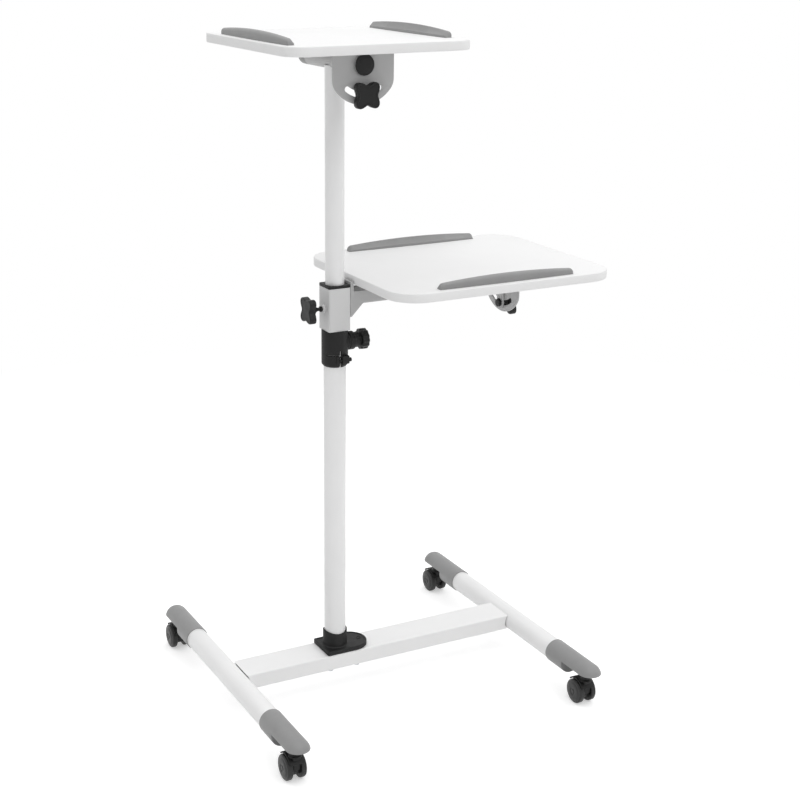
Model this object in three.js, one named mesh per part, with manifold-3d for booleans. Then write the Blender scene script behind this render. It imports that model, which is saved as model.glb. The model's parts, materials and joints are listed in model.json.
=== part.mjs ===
// Audio visual cart: two tilting shelves on a telescopic mast, over an H base on twin-wheel casters.
// Millimetres, +Z up. The mast axis is the datum of every reach below. The finished cart is then
// shifted so that the origin lies on the floor under the middle of its bounding box.

import * as THREE from 'three';
import { mergeVertices } from 'three/addons/utils/BufferGeometryUtils.js';
import Module from 'manifold-3d';

const wasm = await Module();
wasm.setup();

// Clearances
const seatGap = 0.3;
const runningGap = 0.4;
const faceGap = 0.5;
const cutOverrun = 3;

// Facet counts
const roundFacets = 24;
const smallFacets = 10;
const wheelFacets = 24;
const hexFacets = 6;
const cornerSteps = 7;
const noseSteps = 4;
const edgeSteps = 2;

// Base frame
const legAxisHeight = 60;
const leftLegReach = 200;
const rightLegReach = 362;
const legDiameter = 39;
const legWall = 1.5;
const beamDepth = 63;
const beamHeight = 28;
const beamWall = 1.5;
const beamCornerRadius = 2;

// Leg caps, each reach is measured along the leg from the beam's middle
const capDiameter = 42;
const capWall = 2.5;
const capNoseReach = 291.5;
const capLength = 127;
const capTubeSeatLength = 43;
const capHoodLength = 77;
const capMouthChamfer = 1;
const hoodEdgeHeight = 64;
const stemBossDiameter = 18;
const stemBossDrop = 2;

// Casters
const casterStemInset = 32.5;
const casterTrail = 10;
const wheelDiameter = 44;
const wheelThickness = 11.5;
const wheelSpread = 15;
const wheelTreadChamfer = 1.2;
const wheelDomeWidth = 3;
const wheelDomeDiameter = 32;
const axleDiameter = 6;
const axleEndWall = 1.5;
const stemDiameter = 8;
const stemLength = 28;
const stemBoreFloor = 10;
const housingWidth = 14;
const housingHubDiameter = 30;
const housingColumnDepth = 16;
const housingBossDiameter = 16;
const fenderGap = 1;
const fenderWall = 2.5;
const fenderWidth = 27;
const fenderStartAngle = THREE.MathUtils.degToRad(45);
const fenderEndAngle = THREE.MathUtils.degToRad(150);

// Mast socket on the beam
const socketPlateThickness = 8;
const socketPlateLeft = 28;
const socketPlateRight = 60;
const socketPlateChamfer = 1.5;
const socketPlateMargin = 0.5;
const socketDiameter = 43;
const socketHeight = 37;
const socketFloor = 4;
const socketRimDip = 5;
const socketBoltDiameter = 6;
const socketBoltLeft = 20;
const socketBoltRight = 32;
const socketBoltSide = 22;
const socketBoltHeadDiameter = 11.5;
const socketBoltHeadHeight = 4;
const socketBoltGrip = 6;

// Telescopic mast
const lowerTubeDiameter = 38;
const lowerTubeWall = 1.2;
const upperTubeDiameter = 32;
const upperTubeWall = 1.5;
const upperTubeInsertion = 210;
const glideBushHeight = 40;
const glideBushFloor = 3;
const glideBushVent = 20;

// Clamp collar
const collarDiameter = 45;
const collarHeight = 64;
const collarGuideHeight = 30;
const collarChamfer = 4;
const collarBossDiameter = 31.5;
const collarBossReach = 42;
const collarBossDrop = 23;
const collarSlitWidth = 3;
const collarSlitHeight = 30;
const collarCrossSlitHeight = 20;
const collarCrossSlitReach = 19;
const collarLugFrontReach = 28;
const collarLugLength = 13;
const collarLandLength = 9;
const collarLandFrontReach = 24.5;
const collarLugHeight = 14;
const collarLugFloor = 8;
const pinchScrewDiameter = 4;
const pinchScrewReach = 24;
const pinchHeadDiameter = 7;
const pinchHeadHeight = 4;

// Round clamp knob of the collar
const roundKnobDiameter = 36;
const roundKnobThickness = 13;
const roundKnobFluteDepth = 1.2;
const roundKnobFlutes = 12;
const roundKnobBevel = 2;
const roundKnobNeckDiameter = 20;
const roundKnobNeckLength = 3;

// Four-lobed knobs
const lobeKnobMeanRadius = 20.2;
const lobeKnobWave = 5.3;
const lobeKnobSideRelief = 2.6;
const lobeKnobLobes = 4;
const lobeKnobSteps = 36;
const lobeKnobThickness = 12;
const lobeKnobBevel = 2.5;
const lobeKnobHubDiameter = 18;
const lobeKnobHubLength = 5;
const lobeKnobFrontWall = 4;
const clampScrewDiameter = 8;

// Shelf carriage: square sleeve, its lining and its arm
const sleeveRestHeight = 664;
const sleeveWidth = 40;
const sleeveWall = 1.5;
const sleeveHeight = 73;
const sleeveCornerRadius = 2.5;
const sleeveScrewDiameter = 6;
const sleeveNutDiameter = 12;
const sleeveNutHeight = 4;
const sleeveKnobRise = 37;
const sleeveKnobStandOff = 17.5;
const sleeveKnobNeckDiameter = 12;
const sleeveKnobNeckLength = 5;
const sleeveKnobFootDiameter = 9.6;
const sleeveKnobFootLength = 3.5;
const glideRingHeight = 6;
const liningFlangeThickness = 4.5;
const armWebThickness = 2.5;
const armCheekThickness = 2.5;
const armBottomRise = 22;
const armTopRise = 77;
const armBeamBottomRise = 45;
const armBeamTopRise = 65;
const armGussetLength = 25;
const armShoulderLength = 6;
const armLength = 92;

// Tilt heads: a pivot tube with end caps, a fixed lug with its clamp bolt, and two shelf brackets
const shelfPivotRise = 54.5;
const topPivotHeight = 1106.5;
const shelfHeadReach = 231;
const pivotDrop = 21.5;
const pivotTubeDiameter = 31;
const pivotTubeWall = 2;
const pivotTubeOverhang = 3;
const pivotCapDiameter = 32.6;
const pivotCapThickness = 3;
const pivotCapPlugLength = 10;
const pivotCapPlugWall = 2;
const bracketReach = 100;
const bracketThickness = 2.5;
const bracketShoulder = 40;
const bracketWidth = 106;
const bracketRadius = 61;
const bracketCornerRadius = 25;
const bracketSlotRadius = 45.5;
const bracketSlotWidth = 9;
const bracketSlotHalfAngle = THREE.MathUtils.degToRad(43);
const bracketScrewSide = 38;
const bracketTailWidth = 50;
const earScrewSide = 17;
const bracketScrewInset = 25;
const sleevedEarReach = 100;
const sleevedEarDiameter = 42;
const journalEarReach = 83.5;
const journalDiameter = 24;
const journalHeadLength = 22;
const lugWidth = 20;
const lugThickness = 3;
const clampBoltHeadDiameter = 15;
const clampBoltHeadHeight = 5;
const boardScrewDiameter = 4;
const boardScrewHoleDepth = 10;

// Shelf boards
const boardThickness = 15;
const topBoardWidth = 318;
const topBoardDepth = 346;
const topBoardCornerRadius = 33;
const lowerBoardGap = 28;
const lowerBoardWidth = 418;
const lowerBoardDepth = 358;
const lowerBoardCornerRadius = 52;

// Stop bars on the boards
const stopLength = 256;
const stopWidth = 16;
const stopTipWidth = 12.5;
const stopCrown = 15.5;
const stopEndHeight = 10;
const stopEndRounding = 6;
const stopRebate = 1;
const stopCrestInnerShare = 0.1;
const stopCrestOuterShare = 0.55;
const stopInnerFootShare = 0.35;
const stopOuterSideShare = 0.72;
const stopSteps = 12;
const stopInset = 19;
const topStopStagger = 11;
const lowerStopShift = 3;

// Finishes
const finishes = {
  whiteEnamel: { color: 0xf3f3f1, roughness: 0.42, metalness: 0.0 },
  whiteLaminate: { color: 0xf6f6f4, roughness: 0.5, metalness: 0.0 },
  greyEnamel: { color: 0x9b9d9f, roughness: 0.5, metalness: 0.1 },
  greyPlastic: { color: 0x8a8c8e, roughness: 0.6, metalness: 0.0 },
  sleeveEnamel: { color: 0xd3d5d6, roughness: 0.45, metalness: 0.1 },
  blackPlastic: { color: 0x1d1e20, roughness: 0.55, metalness: 0.0 },
  zincSteel: { color: 0xb4b6b8, roughness: 0.35, metalness: 0.9 },
};

// Solids: closed meshes, joined and cut

function weldedTriangles(geometry) {
  const bare = geometry.clone();
  bare.deleteAttribute('normal');
  bare.deleteAttribute('uv');
  const welded = mergeVertices(bare);
  const positions = welded.attributes.position.array;
  const triangles = [];
  let signedVolume = 0;
  for (let i = 0; i < welded.index.count; i += 3) {
    const corners = [0, 1, 2].map((step) => welded.index.getX(i + step));
    const [a, b, c] = corners;
    if (a === b || b === c || c === a) continue;
    triangles.push(corners);
    const [p, q, r] = corners.map((corner) => (
      new THREE.Vector3().fromArray(positions, corner * 3)
    ));
    signedVolume += p.dot(q.cross(r));
  }
  if (signedVolume < 0) triangles.forEach((corners) => corners.reverse());
  return { positions, triangles: triangles.flat() };
}

function toSolid(geometry) {
  const { positions, triangles } = weldedTriangles(geometry);
  const vertProperties = new Float32Array(positions);
  const triVerts = new Uint32Array(triangles);
  return new wasm.Manifold(new wasm.Mesh({ numProp: 3, vertProperties, triVerts }));
}

function toGeometry(solid) {
  const mesh = solid.getMesh();
  const geometry = new THREE.BufferGeometry();
  const positions = new Float32Array(mesh.vertProperties);
  geometry.setAttribute('position', new THREE.BufferAttribute(positions, 3));
  geometry.setIndex(new THREE.BufferAttribute(new Uint32Array(mesh.triVerts), 1));
  return geometry;
}

function joined(...geometries) {
  const [first, ...rest] = geometries.map(toSolid);
  return toGeometry(rest.reduce((whole, solid) => whole.add(solid), first));
}

function cutBy(base, ...tools) {
  return toGeometry(tools.map(toSolid).reduce((whole, tool) => whole.subtract(tool), toSolid(base)));
}

function common(first, second) {
  return toGeometry(toSolid(first).intersect(toSolid(second)));
}

// Turning a shape that was made along Z

function alongX(geometry) {
  return geometry.rotateY(Math.PI / 2);
}

function alongY(geometry) {
  return geometry.rotateX(-Math.PI / 2);
}

// Basic shapes, each standing on Z = 0 around the Z axis

function rod(radius, length, facets = roundFacets) {
  return new THREE.CylinderGeometry(radius, radius, length, facets)
    .rotateX(Math.PI / 2)
    .translate(0, 0, length / 2);
}

function block(width, depth, height) {
  return new THREE.BoxGeometry(width, depth, height).translate(0, 0, height / 2);
}

function revolved(profile, facets = roundFacets) {
  const points = profile.map(([radius, height]) => new THREE.Vector2(radius, height));
  return new THREE.LatheGeometry(points, facets).rotateX(Math.PI / 2);
}

function pipe(outerRadius, innerRadius, length, facets = roundFacets) {
  return revolved([
    [outerRadius, 0],
    [outerRadius, length],
    [innerRadius, length],
    [innerRadius, 0],
    [outerRadius, 0],
  ], facets);
}

function arc(x, y, radius, from, to, steps) {
  return Array.from({ length: steps + 1 }, (_, step) => {
    const angle = from + ((to - from) * step) / steps;
    return new THREE.Vector2(x + radius * Math.cos(angle), y + radius * Math.sin(angle));
  });
}

function prism(outline, height, holes = []) {
  const shape = new THREE.Shape(outline);
  shape.holes = holes.map((hole) => new THREE.Path(hole));
  return new THREE.ExtrudeGeometry(shape, { depth: height, bevelEnabled: false });
}

function roundedRectangle(width, depth, radius, steps) {
  const x = width / 2 - radius;
  const y = depth / 2 - radius;
  const quarter = Math.PI / 2;
  const corners = [[x, y], [-x, y], [-x, -y], [x, -y]];
  return corners.flatMap(([cx, cy], turn) => (
    arc(cx, cy, radius, turn * quarter, (turn + 1) * quarter, steps)
  ));
}

// The scene graph

const cart = new THREE.Group();
const stand = new THREE.Group();
const leftReach = leftLegReach + capDiameter / 2;
const rightReach = lowerBoardGap + lowerBoardWidth;
stand.position.set((leftReach - rightReach) / 2, 0, 0);
cart.add(stand);

function addPiece(parent, name, geometry, finish) {
  const mesh = new THREE.Mesh(toGeometry(toSolid(geometry)), new THREE.MeshStandardMaterial(finish));
  mesh.name = name;
  parent.add(mesh);
  return mesh;
}

function addGroup(parent, x, y, z, turn = 0) {
  const group = new THREE.Group();
  group.position.set(x, y, z);
  group.rotation.z = turn;
  parent.add(group);
  return group;
}

// Base frame

const capMouthReach = capNoseReach - capLength;
const capTubeSeatReach = capMouthReach + capTubeSeatLength;
const capShoulderReach = capNoseReach - capHoodLength;
const casterStemReach = capNoseReach - casterStemInset;
const beamTop = legAxisHeight + beamHeight / 2;
const beamBottom = legAxisHeight - beamHeight / 2;
const legSides = [
  { side: 'left', x: -leftLegReach },
  { side: 'right', x: rightLegReach },
];
const legEnds = [
  { end: 'front', direction: -1, turn: Math.PI },
  { end: 'rear', direction: 1, turn: 0 },
];
const socketBoltPlaces = [
  { tag: 'front_left', x: -socketBoltLeft, y: -socketBoltSide },
  { tag: 'front_right', x: socketBoltRight, y: -socketBoltSide },
  { tag: 'rear_left', x: -socketBoltLeft, y: socketBoltSide },
  { tag: 'rear_right', x: socketBoltRight, y: socketBoltSide },
];

function legTube() {
  const length = 2 * (capTubeSeatReach - seatGap);
  return alongY(pipe(legDiameter / 2, legDiameter / 2 - legWall, length))
    .translate(0, -length / 2, legAxisHeight);
}

function crossBeam() {
  const length = leftLegReach + rightLegReach;
  const outer = roundedRectangle(beamHeight, beamDepth, beamCornerRadius, edgeSteps);
  const innerRadius = Math.max(beamCornerRadius - beamWall, seatGap);
  const innerHeight = beamHeight - 2 * beamWall;
  const inner = roundedRectangle(innerHeight, beamDepth - 2 * beamWall, innerRadius, edgeSteps);
  const box = alongX(prism(outer, length, [inner])).translate(-leftLegReach, 0, legAxisHeight);
  const copes = legSides.map(({ x }) => (
    alongY(rod(legDiameter / 2 + seatGap, 2 * beamDepth)).translate(x, -beamDepth, legAxisHeight)
  ));
  const boltHoles = socketBoltPlaces.map(({ x, y }) => (
    rod(socketBoltDiameter / 2 + runningGap, beamHeight + 2 * cutOverrun, smallFacets)
      .translate(x, y, beamBottom - cutOverrun)
  ));
  return cutBy(box, ...copes, ...boltHoles);
}

function capBody(radius, from, noseCentre, mouthChamfer) {
  const nose = arc(0, noseCentre, radius, 0, Math.PI / 2, noseSteps).map(({ x, y }) => [x, y]);
  nose[noseSteps][0] = 0;
  const mouth = [[0, from], [radius - mouthChamfer, from], [radius, from + mouthChamfer]];
  return alongY(revolved([...mouth, ...nose])).translate(0, 0, legAxisHeight);
}

function legCap() {
  const radius = capDiameter / 2;
  const noseCentre = capNoseReach - radius;
  const outer = capBody(radius, capMouthReach, noseCentre, capMouthChamfer);
  const tubeSeat = alongY(rod(legDiameter / 2 + seatGap, capTubeSeatReach - capMouthReach + cutOverrun))
    .translate(0, capMouthReach - cutOverrun, legAxisHeight);
  const cavity = capBody(radius - capWall, capShoulderReach + capWall, noseCentre, capMouthChamfer);
  const noseLength = capNoseReach - capShoulderReach + cutOverrun;
  const underside = block(2 * capDiameter, noseLength, capDiameter)
    .translate(0, capShoulderReach + noseLength / 2, hoodEdgeHeight - capDiameter);
  const shell = cutBy(outer, tubeSeat, cavity, underside);
  const bossFloor = hoodEdgeHeight - stemBossDrop;
  const boss = common(rod(stemBossDiameter / 2, radius).translate(0, casterStemReach, bossFloor), outer);
  const stemHoleDepth = stemTop + seatGap - bossFloor + cutOverrun;
  const stemHole = rod(stemDiameter / 2 + runningGap, stemHoleDepth, smallFacets)
    .translate(0, casterStemReach, bossFloor - cutOverrun);
  return cutBy(joined(shell, boss), stemHole);
}

// Casters, each drawn around its stem axis with the axle trailing along +Y

const wheelFlatRadius = (wheelDiameter / 2) * Math.cos(Math.PI / wheelFacets);
const housingTop = hoodEdgeHeight - stemBossDrop - seatGap;
const stemBottom = housingTop - stemBoreFloor;
const stemTop = stemBottom + stemLength;
const fenderInnerRadius = wheelDiameter / 2 + fenderGap;

function casterHousing() {
  const hub = alongX(rod(housingHubDiameter / 2, housingWidth))
    .translate(-housingWidth / 2, casterTrail, wheelFlatRadius);
  const columnHeight = fenderInnerRadius + fenderWall;
  const column = block(housingWidth, housingColumnDepth, columnHeight).translate(0, 0, wheelFlatRadius);
  const fenderOuterRadius = fenderInnerRadius + fenderWall;
  const outerArc = arc(0, 0, fenderOuterRadius, fenderStartAngle, fenderEndAngle, cornerSteps);
  const innerArc = arc(0, 0, fenderInnerRadius, fenderEndAngle, fenderStartAngle, cornerSteps);
  const fender = prism([...outerArc, ...innerArc], fenderWidth)
    .rotateX(Math.PI / 2)
    .rotateZ(Math.PI / 2)
    .translate(-fenderWidth / 2, casterTrail, wheelFlatRadius);
  const bossFloor = wheelFlatRadius + fenderInnerRadius;
  const boss = rod(housingBossDiameter / 2, housingTop - bossFloor).translate(0, 0, bossFloor);
  const stemBore = rod(stemDiameter / 2 + seatGap, stemBoreFloor + cutOverrun + seatGap, smallFacets)
    .translate(0, 0, stemBottom - seatGap);
  const axleBore = alongX(rod(axleDiameter / 2 + seatGap, housingWidth + 2 * cutOverrun, smallFacets))
    .translate(-housingWidth / 2 - cutOverrun, casterTrail, wheelFlatRadius);
  return cutBy(joined(hub, column, fender, boss), stemBore, axleBore);
}

function casterWheel() {
  const rim = wheelDiameter / 2;
  const bore = axleDiameter / 2 + runningGap;
  const outerFace = wheelThickness;
  const profile = [
    [0, outerFace],
    [wheelDomeDiameter / 2, outerFace],
    [rim - wheelTreadChamfer, outerFace - wheelDomeWidth + wheelTreadChamfer],
    [rim, outerFace - wheelDomeWidth],
    [rim, wheelTreadChamfer],
    [rim - wheelTreadChamfer, 0],
    [bore, 0],
    [bore, outerFace - axleEndWall],
    [0, outerFace - axleEndWall],
  ];
  return revolved(profile, wheelFacets).rotateZ(Math.PI / wheelFacets);
}

function addCaster(x, y, tag) {
  const caster = addGroup(stand, x, y, 0);
  addPiece(caster, `caster_housing_${tag}`, casterHousing(), finishes.blackPlastic);
  const stem = rod(stemDiameter / 2, stemLength, smallFacets).translate(0, 0, stemBottom);
  addPiece(caster, `caster_stem_${tag}`, stem, finishes.zincSteel);
  const axleReach = wheelSpread / 2 + wheelThickness - axleEndWall - faceGap;
  const axle = alongX(rod(axleDiameter / 2, 2 * axleReach, smallFacets))
    .translate(-axleReach, casterTrail, wheelFlatRadius);
  addPiece(caster, `caster_axle_${tag}`, axle, finishes.zincSteel);
  for (const { side, direction } of [{ side: 'left', direction: -1 }, { side: 'right', direction: 1 }]) {
    const wheel = casterWheel();
    wheel.rotateY((direction * Math.PI) / 2);
    wheel.translate((direction * wheelSpread) / 2, casterTrail, wheelFlatRadius);
    addPiece(caster, `caster_wheel_${tag}_${side}`, wheel, finishes.blackPlastic);
  }
}

function addBase() {
  for (const { side, x } of legSides) {
    addPiece(addGroup(stand, x, 0, 0), `leg_${side}`, legTube(), finishes.whiteEnamel);
    for (const { end, direction, turn } of legEnds) {
      addPiece(addGroup(stand, x, 0, 0, turn), `leg_cap_${end}_${side}`, legCap(), finishes.greyPlastic);
      addCaster(x, direction * casterStemReach, `${end}_${side}`);
    }
  }
  addPiece(stand, 'cross_beam', crossBeam(), finishes.whiteEnamel);
}

// Mast socket

// The rim of the cup is highest at its two sides and dips at the front and the back
function socketCup() {
  const radius = socketDiameter / 2;
  const domeRadius = (radius ** 2 + socketRimDip ** 2) / (2 * socketRimDip);
  const dome = alongX(rod(domeRadius, socketDiameter + 2 * cutOverrun, 4 * roundFacets))
    .translate(-radius - cutOverrun, 0, socketHeight - domeRadius);
  return common(rod(radius, socketHeight), dome);
}

function mastSocket() {
  const halfDepth = beamDepth / 2 - socketPlateMargin;
  const centre = socketPlateRight - halfDepth;
  const layer = (inset, thickness) => prism([
    new THREE.Vector2(-socketPlateLeft + inset, -halfDepth + inset),
    ...arc(centre, 0, halfDepth - inset, -Math.PI / 2, Math.PI / 2, 2 * cornerSteps),
    new THREE.Vector2(-socketPlateLeft + inset, halfDepth - inset),
  ], thickness);
  const lowerLayer = layer(0, socketPlateThickness - socketPlateChamfer);
  const upperLayer = layer(socketPlateChamfer, socketPlateThickness);
  const tubeSeat = rod(lowerTubeDiameter / 2 + seatGap, socketHeight).translate(0, 0, socketFloor);
  const boltHoles = socketBoltPlaces.map(({ x, y }) => (
    rod(socketBoltDiameter / 2 + seatGap, socketBoltGrip + seatGap + cutOverrun, smallFacets)
      .translate(x, y, -cutOverrun)
  ));
  return cutBy(joined(lowerLayer, upperLayer, socketCup()), tubeSeat, ...boltHoles)
    .translate(0, 0, beamTop + seatGap);
}

function socketBolt() {
  const headTop = beamBottom - seatGap;
  const tip = beamTop + seatGap + socketBoltGrip;
  const shank = rod(socketBoltDiameter / 2, tip - headTop + socketBoltHeadHeight / 2, smallFacets)
    .translate(0, 0, headTop - socketBoltHeadHeight / 2);
  const head = rod(socketBoltHeadDiameter / 2, socketBoltHeadHeight, hexFacets)
    .translate(0, 0, headTop - socketBoltHeadHeight);
  return joined(shank, head);
}

// Mast tubes and clamp collar

const collarTop = sleeveRestHeight - seatGap;
const collarBottom = collarTop - collarHeight;
const lowerTubeTop = collarTop - collarGuideHeight - seatGap;
const lowerTubeBottom = beamTop + seatGap + socketFloor + seatGap;
const upperTubeBottom = lowerTubeTop - upperTubeInsertion;
const collarScrewHeight = collarTop - collarBossDrop;
const guideRadius = upperTubeDiameter / 2 + runningGap;

function lowerMastTube() {
  const radius = lowerTubeDiameter / 2;
  return pipe(radius, radius - lowerTubeWall, lowerTubeTop - lowerTubeBottom)
    .translate(0, 0, lowerTubeBottom);
}

function upperMastTube() {
  const radius = upperTubeDiameter / 2;
  const tube = pipe(radius, radius - upperTubeWall, topPivotHeight - upperTubeBottom)
    .translate(0, 0, upperTubeBottom);
  const saddle = alongY(rod(pivotTubeDiameter / 2 + seatGap, 2 * upperTubeDiameter))
    .translate(0, -upperTubeDiameter, topPivotHeight);
  return cutBy(tube, saddle);
}

function mastGlideBush() {
  const outer = lowerTubeDiameter / 2 - lowerTubeWall - runningGap;
  const floorTop = glideBushFloor;
  const profile = [
    [glideBushVent / 2, 0],
    [outer, 0],
    [outer, glideBushHeight],
    [guideRadius, glideBushHeight],
    [guideRadius, floorTop],
    [glideBushVent / 2, floorTop],
    [glideBushVent / 2, 0],
  ];
  return revolved(profile).translate(0, 0, upperTubeBottom - seatGap - glideBushFloor);
}

function clampCollar() {
  const radius = collarDiameter / 2;
  const body = revolved([
    [0, 0],
    [radius - collarChamfer, 0],
    [radius, collarChamfer],
    [radius, collarHeight],
    [0, collarHeight],
  ]).translate(0, 0, collarBottom);
  const boss = alongX(rod(collarBossDiameter / 2, collarBossReach)).translate(0, 0, collarScrewHeight);
  const lugBottom = collarBottom + collarLugFloor;
  const lugStart = collarSlitWidth / 2;
  const lug = block(collarLugLength, collarLugFrontReach, collarLugHeight)
    .translate(lugStart + collarLugLength / 2, -collarLugFrontReach / 2, lugBottom);
  const land = block(collarLandLength, collarLandFrontReach, collarLugHeight)
    .translate(lugStart - collarLandLength / 2, -collarLandFrontReach / 2, lugBottom);
  const tubeSeatDepth = collarHeight - collarGuideHeight;
  const tubeSeat = rod(lowerTubeDiameter / 2 + seatGap, tubeSeatDepth + cutOverrun)
    .translate(0, 0, collarBottom - cutOverrun);
  const guide = rod(guideRadius, collarHeight + 2 * cutOverrun).translate(0, 0, collarBottom - cutOverrun);
  const screwRadius = clampScrewDiameter / 2 + runningGap;
  const screwHole = alongX(rod(screwRadius, collarBossReach + cutOverrun, smallFacets))
    .translate(0, 0, collarScrewHeight);
  const slit = block(collarSlitWidth, collarDiameter, collarSlitHeight + cutOverrun)
    .translate(0, -collarDiameter / 2, collarBottom - cutOverrun);
  const crossSlit = block(collarCrossSlitReach, collarDiameter, collarSlitWidth)
    .translate(-collarCrossSlitReach / 2, -collarDiameter / 2, collarBottom + collarCrossSlitHeight);
  const pinchHole = alongX(rod(pinchScrewDiameter / 2 + seatGap, collarDiameter, smallFacets))
    .translate(lugStart - collarLandLength / 2, -pinchScrewReach, lugBottom + collarLugHeight / 2);
  return cutBy(joined(body, boss, lug, land), tubeSeat, guide, screwHole, slit, crossSlit, pinchHole);
}

function pinchScrew() {
  const lugStart = collarSlitWidth / 2;
  const lugEnd = lugStart + collarLugLength;
  const shankStart = lugStart - collarLandLength / 2 + seatGap;
  const shankLength = lugEnd + seatGap + pinchHeadHeight / 2 - shankStart;
  return joined(
    alongX(rod(pinchScrewDiameter / 2, shankLength, smallFacets)).translate(shankStart, 0, 0),
    alongX(rod(pinchHeadDiameter / 2, pinchHeadHeight, smallFacets)).translate(lugEnd + seatGap, 0, 0),
  ).translate(0, -pinchScrewReach, collarBottom + collarLugFloor + collarLugHeight / 2);
}

// Knobs, drawn around Z with the clamped face at Z = 0 and the grip above it

function wavyOutline(meanRadius, wave, lobes, steps, sideRelief = 0) {
  return Array.from({ length: steps }, (_, step) => {
    const angle = (2 * Math.PI * step) / steps;
    const relief = sideRelief * Math.max(0, Math.cos(2 * angle)) ** 2;
    const radius = meanRadius - wave * Math.cos(lobes * angle) + relief;
    return new THREE.Vector2(radius * Math.cos(angle), radius * Math.sin(angle));
  });
}

function bevelledGrip(outline, thickness, bevel) {
  const settings = {
    depth: thickness - 2 * bevel,
    bevelEnabled: true,
    bevelThickness: bevel,
    bevelSize: bevel,
    bevelOffset: -bevel,
    bevelSegments: 1,
  };
  return new THREE.ExtrudeGeometry(new THREE.Shape(outline), settings).translate(0, 0, bevel);
}

function lobeKnob() {
  const outline = wavyOutline(
    lobeKnobMeanRadius,
    lobeKnobWave,
    lobeKnobLobes,
    lobeKnobSteps,
    lobeKnobSideRelief,
  );
  const grip = bevelledGrip(outline, lobeKnobThickness, lobeKnobBevel).translate(0, 0, lobeKnobHubLength);
  return joined(grip, rod(lobeKnobHubDiameter / 2, lobeKnobHubLength + lobeKnobBevel));
}

function nutKnob() {
  const boreDepth = lobeKnobHubLength + lobeKnobThickness - lobeKnobFrontWall;
  const bore = rod(clampScrewDiameter / 2 + runningGap, boreDepth + cutOverrun, smallFacets)
    .translate(0, 0, -cutOverrun);
  return cutBy(lobeKnob(), bore);
}

// The neck narrows to the screw, which has a small foot close to the nut
function screwKnob(screwLength) {
  const screw = rod(sleeveScrewDiameter / 2, screwLength + lobeKnobHubLength / 2, smallFacets)
    .translate(0, 0, -screwLength);
  const neck = revolved([
    [0, -sleeveKnobNeckLength],
    [sleeveScrewDiameter / 2, -sleeveKnobNeckLength],
    [sleeveKnobNeckDiameter / 2, 0],
    [sleeveKnobNeckDiameter / 2, lobeKnobHubLength / 2],
    [0, lobeKnobHubLength / 2],
  ]);
  const foot = rod(sleeveKnobFootDiameter / 2, sleeveKnobFootLength)
    .translate(0, 0, sleeveNutHeight + faceGap - sleeveKnobStandOff);
  return joined(lobeKnob(), neck, foot, screw);
}

function roundKnob(screwLength) {
  const outline = wavyOutline(
    (roundKnobDiameter - roundKnobFluteDepth) / 2,
    roundKnobFluteDepth / 2,
    roundKnobFlutes,
    4 * roundKnobFlutes,
  );
  const grip = bevelledGrip(outline, roundKnobThickness, roundKnobBevel)
    .translate(0, 0, roundKnobNeckLength);
  const neck = rod(roundKnobNeckDiameter / 2, roundKnobNeckLength + roundKnobBevel);
  const screw = rod(clampScrewDiameter / 2, screwLength + roundKnobNeckLength / 2, smallFacets)
    .translate(0, 0, -screwLength);
  return joined(grip, neck, screw);
}

function addCollarKnob() {
  const standOff = collarBossReach + faceGap;
  const tip = upperTubeDiameter / 2 + seatGap;
  const knob = alongX(roundKnob(standOff - tip)).translate(standOff, 0, collarScrewHeight);
  addPiece(stand, 'collar_knob', knob, finishes.blackPlastic);
}

// Shelf carriage on the mast

const sleeveTop = sleeveRestHeight + sleeveHeight;
const sleeveKnobHeight = sleeveRestHeight + sleeveKnobRise;
const liningHalfWidth = sleeveWidth / 2 - sleeveWall - seatGap;

function sleeveScrewHole() {
  return alongX(rod(sleeveScrewDiameter / 2 + runningGap, sleeveWidth, smallFacets))
    .translate(-sleeveWidth, 0, sleeveKnobHeight);
}

function squareSleeve() {
  const outer = roundedRectangle(sleeveWidth, sleeveWidth, sleeveCornerRadius, edgeSteps);
  const innerWidth = sleeveWidth - 2 * sleeveWall;
  const inner = roundedRectangle(innerWidth, innerWidth, sleeveCornerRadius - sleeveWall, edgeSteps);
  const wall = prism(outer, sleeveHeight, [inner]).translate(0, 0, sleeveRestHeight);
  const nut = alongX(rod(sleeveNutDiameter / 2, sleeveNutHeight + sleeveWall / 2, 2 * smallFacets))
    .translate(-sleeveWidth / 2 - sleeveNutHeight, 0, sleeveKnobHeight);
  return cutBy(joined(wall, nut), sleeveScrewHole());
}

function sleeveLining() {
  const bottom = sleeveRestHeight + glideRingHeight + seatGap;
  const width = 2 * liningHalfWidth;
  const insertOutline = roundedRectangle(width, width, sleeveCornerRadius - sleeveWall, edgeSteps);
  const flangeOutline = roundedRectangle(sleeveWidth, sleeveWidth, sleeveCornerRadius, edgeSteps);
  const flangeBottom = sleeveTop + seatGap;
  const insert = prism(insertOutline, sleeveTop - bottom).translate(0, 0, bottom);
  const flange = prism(flangeOutline, liningFlangeThickness).translate(0, 0, flangeBottom);
  const neck = prism(insertOutline, liningFlangeThickness)
    .translate(0, 0, flangeBottom - liningFlangeThickness / 2);
  const guide = rod(guideRadius, sleeveHeight + liningFlangeThickness + 2 * cutOverrun)
    .translate(0, 0, sleeveRestHeight - cutOverrun);
  return cutBy(joined(insert, flange, neck), guide, sleeveScrewHole());
}

function glideRing() {
  return pipe(guideRadius, liningHalfWidth, glideRingHeight - seatGap)
    .translate(0, 0, sleeveRestHeight + seatGap);
}

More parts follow.
